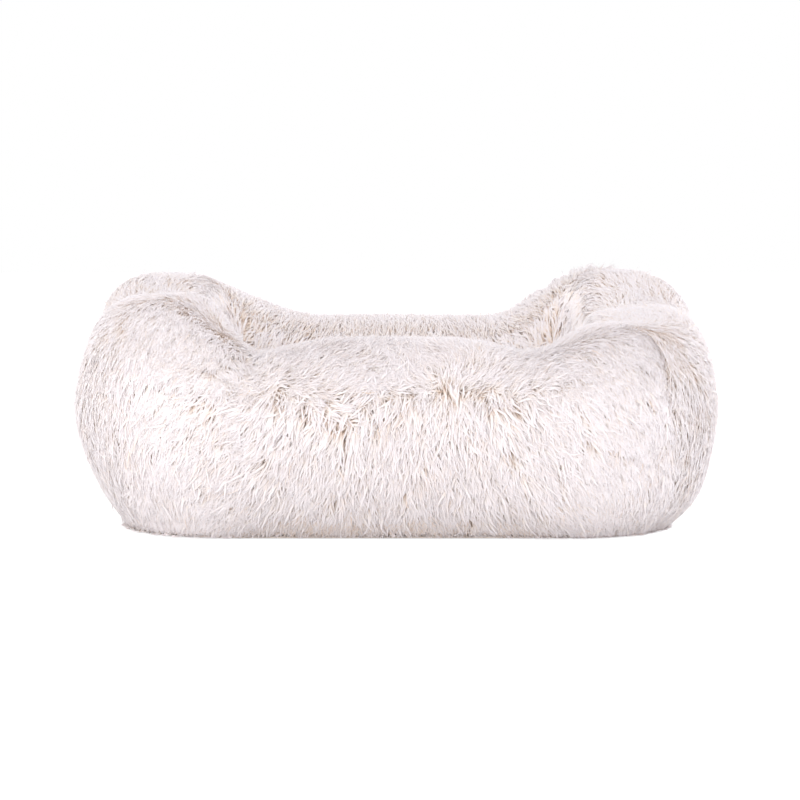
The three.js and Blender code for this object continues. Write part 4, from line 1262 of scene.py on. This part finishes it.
print("label")
labelForm = {
    "start": 0.3010, "bend": 0.00052, "length": 0.0235, "half": 0.0148, "low": 0.00145, "thick": 0.0004,
    "wave": 0.0001, "waveTurns": (420, 160), "flatTo": 0.01, "steps": (36, 14),
}
bm = bmesh.new()
steps, rows = labelForm["steps"]
bmesh.ops.create_grid(bm, x_segments=steps, y_segments=rows, size=0.5)
straight, bend = labelForm["length"] - labelForm["bend"], labelForm["bend"]
total = 2 * straight + math.pi * bend
for vertex in bm.verts:  # out from under the wall, round the fold and back
    walked = (vertex.co.x + 0.5) * total
    y = vertex.co.y * 2 * labelForm["half"]
    if walked < straight:
        x, z = walked, 0.0
    elif walked < straight + math.pi * bend:
        angle = (walked - straight) / bend
        x, z = straight + bend * math.sin(angle), bend * (1 - math.cos(angle))
    else:
        x, z = total - walked, 2 * bend
    turn = x * labelForm["waveTurns"][0] + y * labelForm["waveTurns"][1]
    z += labelForm["wave"] * math.sin(turn) * smoothStep(x, 0.0, labelForm["flatTo"])
    vertex.co = (labelForm["start"] + x, y, labelForm["low"] + z)
bmesh.ops.recalc_face_normals(bm, faces=bm.faces)
satin = Finish("labelSatin", Roughness=0.5, Specular_IOR_Level=0.4)
spot = satin.place()
lx, ly, _ = satin.split(satin.stretched(spot, (5200, 5200, 5200)))
threads = (ly + lx * 0.25).sine()
soil = satin.noise(spot, 110, 4).step(0.45, 0.7) * 0.5
satinPaint = satin.wear(
    satin.mix(soil, tint(247, 245, 241), tint(228, 223, 216)), 0.42 + threads * 0.1, threads, 0.00008
)
label = finished("care_label_ribbon", bm, satinPaint, "label_ribbon", "bed", ["care_label"])
thicken(label, labelForm["thick"], 0)


print("floor, light and camera")
studioSettings = {
    "floor": (0.92, 0.91, 0.90, 1), "floorSeen": (0.6, 0.6, 0.6, 1), "floorGlow": 0.75, "floorHalf": 6,
    "air": (0.965, 0.972, 1.0, 1), "airStrength": 0.95, "aim": (0, 0, 0.1), "white": (1, 1, 1, 1),
}
ground = Finish("studioFloor")
shaded = ground.add("ShaderNodeBsdfDiffuse", {}, {"Color": studioSettings["floor"]})
glow = {"Color": studioSettings["white"], "Strength": studioSettings["floorGlow"]}
bright = ground.add("ShaderNodeAddShader", {}, {
    0: ground.add("ShaderNodeBsdfDiffuse", {}, {"Color": studioSettings["floorSeen"]}),
    1: ground.add("ShaderNodeEmission", {}, glow),
})
both = ground.add("ShaderNodeMixShader", {}, {0: ground.unlit(), 1: shaded, 2: bright})
ground.show(both, "Material Output")
bm = bmesh.new()
bmesh.ops.create_grid(bm, x_segments=2, y_segments=2, size=studioSettings["floorHalf"])
floor = placed("studio_floor", meshOf(bm, "studio_floor"))
floor.data.materials.append(ground.material)

world = bpy.data.worlds.new("studio")
scene.world = world
air = Finish("studio", world)
sky = {"Color": studioSettings["air"], "Strength": studioSettings["airStrength"]}
light = air.add("ShaderNodeBackground", {}, sky)
white = air.add("ShaderNodeBackground", {}, {"Color": studioSettings["white"], "Strength": 1.0})
air.show(air.add("ShaderNodeMixShader", {}, {0: air.unlit(), 1: light, 2: white}), "World Output")

lampSettings = {  # place, size in metres, power in watts, colour
    "key": ((-1.0, -3.6, 1.0), 3.6, 66, (1.0, 0.98, 0.97)),
    "leftSide": ((-3.2, -0.1, 1.0), 3.4, 17, (0.93, 0.96, 1.0)),
    "rightSide": ((3.2, 0.5, 0.6), 3.4, 49, (0.94, 0.955, 1.0)),
    "behind": ((0.2, 3.6, 1.0), 2.6, 30, (1.0, 0.98, 0.97)),
    "above": ((0, 0.2, 3.2), 2.6, 7, (0.91, 0.94, 1.0)),
}
for name, (spot, size, power, colour) in lampSettings.items():
    lamp = bpy.data.lights.new(name, "AREA")
    lamp.shape, lamp.size, lamp.energy, lamp.color = "DISK", size, power, colour
    stand = placed(name, lamp)
    stand.location = spot
    stand.rotation_euler = (Vector(studioSettings["aim"]) - Vector(spot)).to_track_quat("-Z", "Y").to_euler()

cameraSettings = {
    "place": (0, -4.285, 0.478), "pitch": 4.6, "lens": 168.3, "sensor": 36, "shift": (0.005, 0.0),
}
view = bpy.data.cameras.new("camera")
view.lens, view.sensor_width = cameraSettings["lens"], cameraSettings["sensor"]
view.shift_x, view.shift_y = cameraSettings["shift"]
camera = placed("camera", view)
camera.location = cameraSettings["place"]
camera.rotation_euler = (math.radians(90 - cameraSettings["pitch"]), 0, 0)
scene.camera = camera
